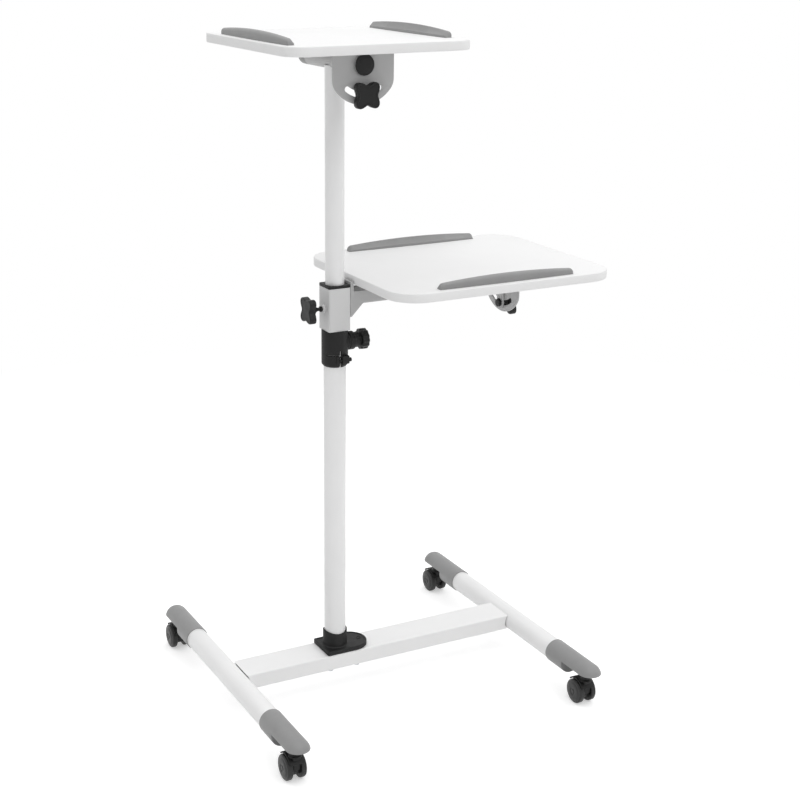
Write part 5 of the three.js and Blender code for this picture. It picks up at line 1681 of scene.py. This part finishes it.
class CART_OT_stop_bars(Operator):
    """Moulded stop bars that are highest in the middle, with a scooped inner side"""
    bl_idname = "cart.stop_bars"
    bl_label = "Stop bars"

    def execute(self, context):
        for name, board in BOARDS.items():
            head = HEADS[name]
            for tag, (turn, x, y) in board["stops"].items():
                place = frame_at(x, y, BOARD_TOP - STOP_REBATE + SEAT_GAP, turn)
                add_piece(f"{name}_bar_{tag}", self.bar(), head["frame"] @ place, head["shelf"],
                          [grey_plastic()], [f"{name}_stop_{tag}"],
                          STOP_SMOOTH_ANGLE)
        return {"FINISHED"}

    def bar(self):
        """The bar's section drawn out along X, then scooped and drawn in towards both ends."""
        half, crown, foot = STOP_WIDTH / 2, STOP_CROWN, STOP_FOOT
        lean = [(half * (1 - LEAN_SHARE * step / LEAN_STEPS),
                 foot + (crown - foot) * step / LEAN_STEPS) for step in range(1, LEAN_STEPS)]
        section = [(half, 0), (half, foot), *lean, (half * (1 - LEAN_SHARE), crown),
                   (-half, crown), (-half, 0)]
        bm = bmesh.new()
        verts = wire(bm, [(0, y, z) for y, z in section])
        round_corners(bm, verts, STOP_ROUNDINGS, 6)
        drawn_out(bm, (STOP_LENGTH, 0, 0))
        along = [e for e in bm.edges
                 if abs(e.verts[0].co.x - e.verts[1].co.x) > STOP_LENGTH / 2]
        bmesh.ops.subdivide_edges(bm, edges=along, cuts=STOP_CUTS, use_grid_fill=False)
        for vert in bm.verts:
            self.shape(vert.co)
        return bm

    def shape(self, point):
        """Moves a point of the straight bar to its place in the shaped one."""
        half_length, half = STOP_LENGTH / 2, STOP_WIDTH / 2
        share = math.sin((point.x / STOP_LENGTH - 0.5) * math.pi)
        up = (point.z - STOP_FOOT) / (STOP_CROWN - STOP_FOOT)
        if 0 < up < 1 and point.y > half * (1 - LEAN_SHARE * up) - SCOOP_MARGIN:
            depth = SCOOP_DEPTH * math.sqrt(max(0, 1 - (share / SCOOP_REACH_SHARE) ** 2))
            point.y -= depth * math.sin(math.pi * up ** SCOOP_RISE_POWER)
        into = max(0, abs(share) * half_length - half_length + STOP_END_ROUNDING)
        drop = STOP_END_ROUNDING - math.sqrt(max(0, STOP_END_ROUNDING ** 2 - into ** 2))
        height = STOP_CROWN - (STOP_CROWN - STOP_END_HEIGHT) * share ** 2
        point.x = share * half_length
        point.y *= (stop_half_width(share) - drop * END_NARROWING_SHARE) / half
        point.z *= (height - drop) / STOP_CROWN


# Stage, light and camera, in metres

CAMERA_PLACE = (-1.1982, -2.1890, 1.3248)
CAMERA_TILT, CAMERA_TURN = math.radians(72.28), math.radians(-26.49)
CAMERA_LENS = 67.898
CAMERA_SENSOR = 36
CAMERA_SHIFT = (0.0781, -0.00386)
CAMERA_REACH = 200
FLOOR_RADIUS = 30
FLOOR_COLOUR = "f2f2f2"
FLOOR_GLOW = 0.42
# From the first to the second of these distances the floor turns to plain white
FLOOR_FADE = (1.1, 2.2)
WHITE = (1, 1, 1, 1)
LIGHT_AIM = Vector((0, 0, 0.65))
# Of each light: its place, its width and its power's property
LIGHTS = {
    "key_light": ((0.2, -3.0, 2.8), 2.2, "key_power"),
    "fill_light": ((2.6, -0.8, 1.6), 2.0, "fill_power"),
    "top_light": ((0.1, 0, 6.0), 10.0, "top_power"),
}


def seen_rays(tree):
    """1 for what is seen, directly, in a gloss or through glass, and 0 for what lights."""
    rays = add_node(tree, "ShaderNodeLightPath").outputs
    seen = rays["Is Camera Ray"]
    for other in ("Is Glossy Ray", "Is Transmission Ray"):
        seen = add_node(tree, "ShaderNodeMath", links={0: seen, 1: rays[other]},
                        operation="MAXIMUM").outputs[0]
    return seen


def mixed(tree, share, first, second):
    """The output of a shader that goes from a first to a second one."""
    return add_node(tree, "ShaderNodeMixShader",
                    links={"Fac": share, 1: first, 2: second}).outputs[0]


class CART_OT_stage(Operator):
    """Pale floor, soft studio light and the camera of the picture"""
    bl_idname = "cart.stage"
    bl_label = "Stage"

    def execute(self, context):
        scene = context.scene
        self.add_floor(scene)
        self.add_lights(scene)
        self.add_world(scene)
        self.add_camera(scene)
        scene.view_settings.view_transform = "Standard"
        return {"FINISHED"}

    def add_camera(self, scene):
        camera = bpy.data.cameras.new("picture_camera")
        camera.sensor_width = CAMERA_SENSOR
        camera.lens = CAMERA_LENS
        camera.shift_x, camera.shift_y = CAMERA_SHIFT
        camera.clip_end = CAMERA_REACH
        holder = bpy.data.objects.new("picture_camera", camera)
        holder.location = CAMERA_PLACE
        holder.rotation_euler = (CAMERA_TILT, 0, CAMERA_TURN)
        scene.collection.objects.link(holder)
        scene.camera = holder

    def add_floor(self, scene):
        bm = bmesh.new()
        bmesh.ops.create_circle(bm, cap_ends=True, segments=TUBE_FACETS, radius=FLOOR_RADIUS)
        mesh = bpy.data.meshes.new("floor")
        bm.to_mesh(mesh)
        bm.free()
        mesh.materials.append(self.floor_material())
        floor = bpy.data.objects.new("floor", mesh)
        scene.collection.objects.link(floor)

    def floor_material(self):
        """A matt floor that seems plain white further out, where the picture shows no shadow."""
        material = bpy.data.materials.new("pale_floor")
        material.use_nodes = True
        tree = material.node_tree
        tree.nodes.clear()
        matt = add_node(tree, "ShaderNodeBsdfDiffuse",
                        {"Color": (*linear(FLOOR_COLOUR), 1.0)}).outputs[0]
        glow, plain = [add_node(tree, "ShaderNodeEmission",
                                {"Color": WHITE, "Strength": strength}).outputs[0]
                       for strength in (FLOOR_GLOW, 1.0)]
        lit = add_node(tree, "ShaderNodeAddShader", links={0: matt, 1: glow}).outputs[0]
        place = add_node(tree, "ShaderNodeTexCoord").outputs["Object"]
        away = add_node(tree, "ShaderNodeVectorMath", links={0: place}, operation="LENGTH")
        fade = add_node(tree, "ShaderNodeMapRange",
                        {"From Min": FLOOR_FADE[0], "From Max": FLOOR_FADE[1],
                         "To Min": 0.0, "To Max": 1.0}, {"Value": away.outputs["Value"]})
        seen = mixed(tree, fade.outputs["Result"], lit, plain)
        add_node(tree, "ShaderNodeOutputMaterial",
                 links={"Surface": mixed(tree, seen_rays(tree), matt, seen)})
        return material

    def add_lights(self, scene):
        for name, (place, size, power) in LIGHTS.items():
            lamp = bpy.data.lights.new(name, "AREA")
            lamp.shape = "SQUARE"
            lamp.size = size
            lamp.energy = getattr(scene.cart_studio, power)
            holder = bpy.data.objects.new(name, lamp)
            holder.location = place
            holder.rotation_euler = (LIGHT_AIM - Vector(place)).to_track_quat("-Z", "Y").to_euler()
            scene.collection.objects.link(holder)

    def add_world(self, scene):
        world = bpy.data.worlds.new("studio")
        world.use_nodes = True
        tree = world.node_tree
        tree.nodes.clear()
        room, white = [add_node(tree, "ShaderNodeBackground",
                                {"Color": WHITE, "Strength": strength}).outputs[0]
                       for strength in (scene.cart_studio.sky_strength, 1.0)]
        add_node(tree, "ShaderNodeOutputWorld",
                 links={"Surface": mixed(tree, seen_rays(tree), room, white)})
        scene.world = world


# The panel and the making

OPERATORS = (
    CART_OT_legs, CART_OT_cross_beam, CART_OT_leg_caps, CART_OT_casters, CART_OT_mast_socket,
    CART_OT_mast_tubes, CART_OT_clamp_collar, CART_OT_knobs, CART_OT_sleeve, CART_OT_shelf_arm,
    CART_OT_brackets, CART_OT_pivots, CART_OT_boards, CART_OT_stop_bars, CART_OT_stage)


class CART_PT_panel(Panel):
    """Lists the cart's pieces, sizes and colours"""
    bl_idname = "CART_PT_panel"
    bl_label = "Cart"
    bl_space_type = "VIEW_3D"
    bl_region_type = "UI"
    bl_category = "Cart"

    def draw(self, context):
        layout = self.layout
        scene = context.scene
        for group in (scene.cart_sizes, scene.cart_colours, scene.cart_studio):
            box = layout.box()
            for name in group.bl_rna.properties.keys():
                if name not in {"rna_type", "name"}:
                    box.prop(group, name)
        for operator in OPERATORS:
            layout.operator(operator.bl_idname)


CLASSES = (CartSizes, CartColours, CartStudio, *OPERATORS, CART_PT_panel)


def register():
    for entry in CLASSES:
        bpy.utils.register_class(entry)
    bpy.types.Scene.cart_sizes = PointerProperty(type=CartSizes)
    bpy.types.Scene.cart_colours = PointerProperty(type=CartColours)
    bpy.types.Scene.cart_studio = PointerProperty(type=CartStudio)


def unregister():
    del bpy.types.Scene.cart_studio
    del bpy.types.Scene.cart_colours
    del bpy.types.Scene.cart_sizes
    for entry in reversed(CLASSES):
        bpy.utils.unregister_class(entry)


def main():
    register()
    for operator in OPERATORS:
        family, name = operator.bl_idname.split(".")
        getattr(getattr(bpy.ops, family), name)()


if __name__ == "__main__":
    main()
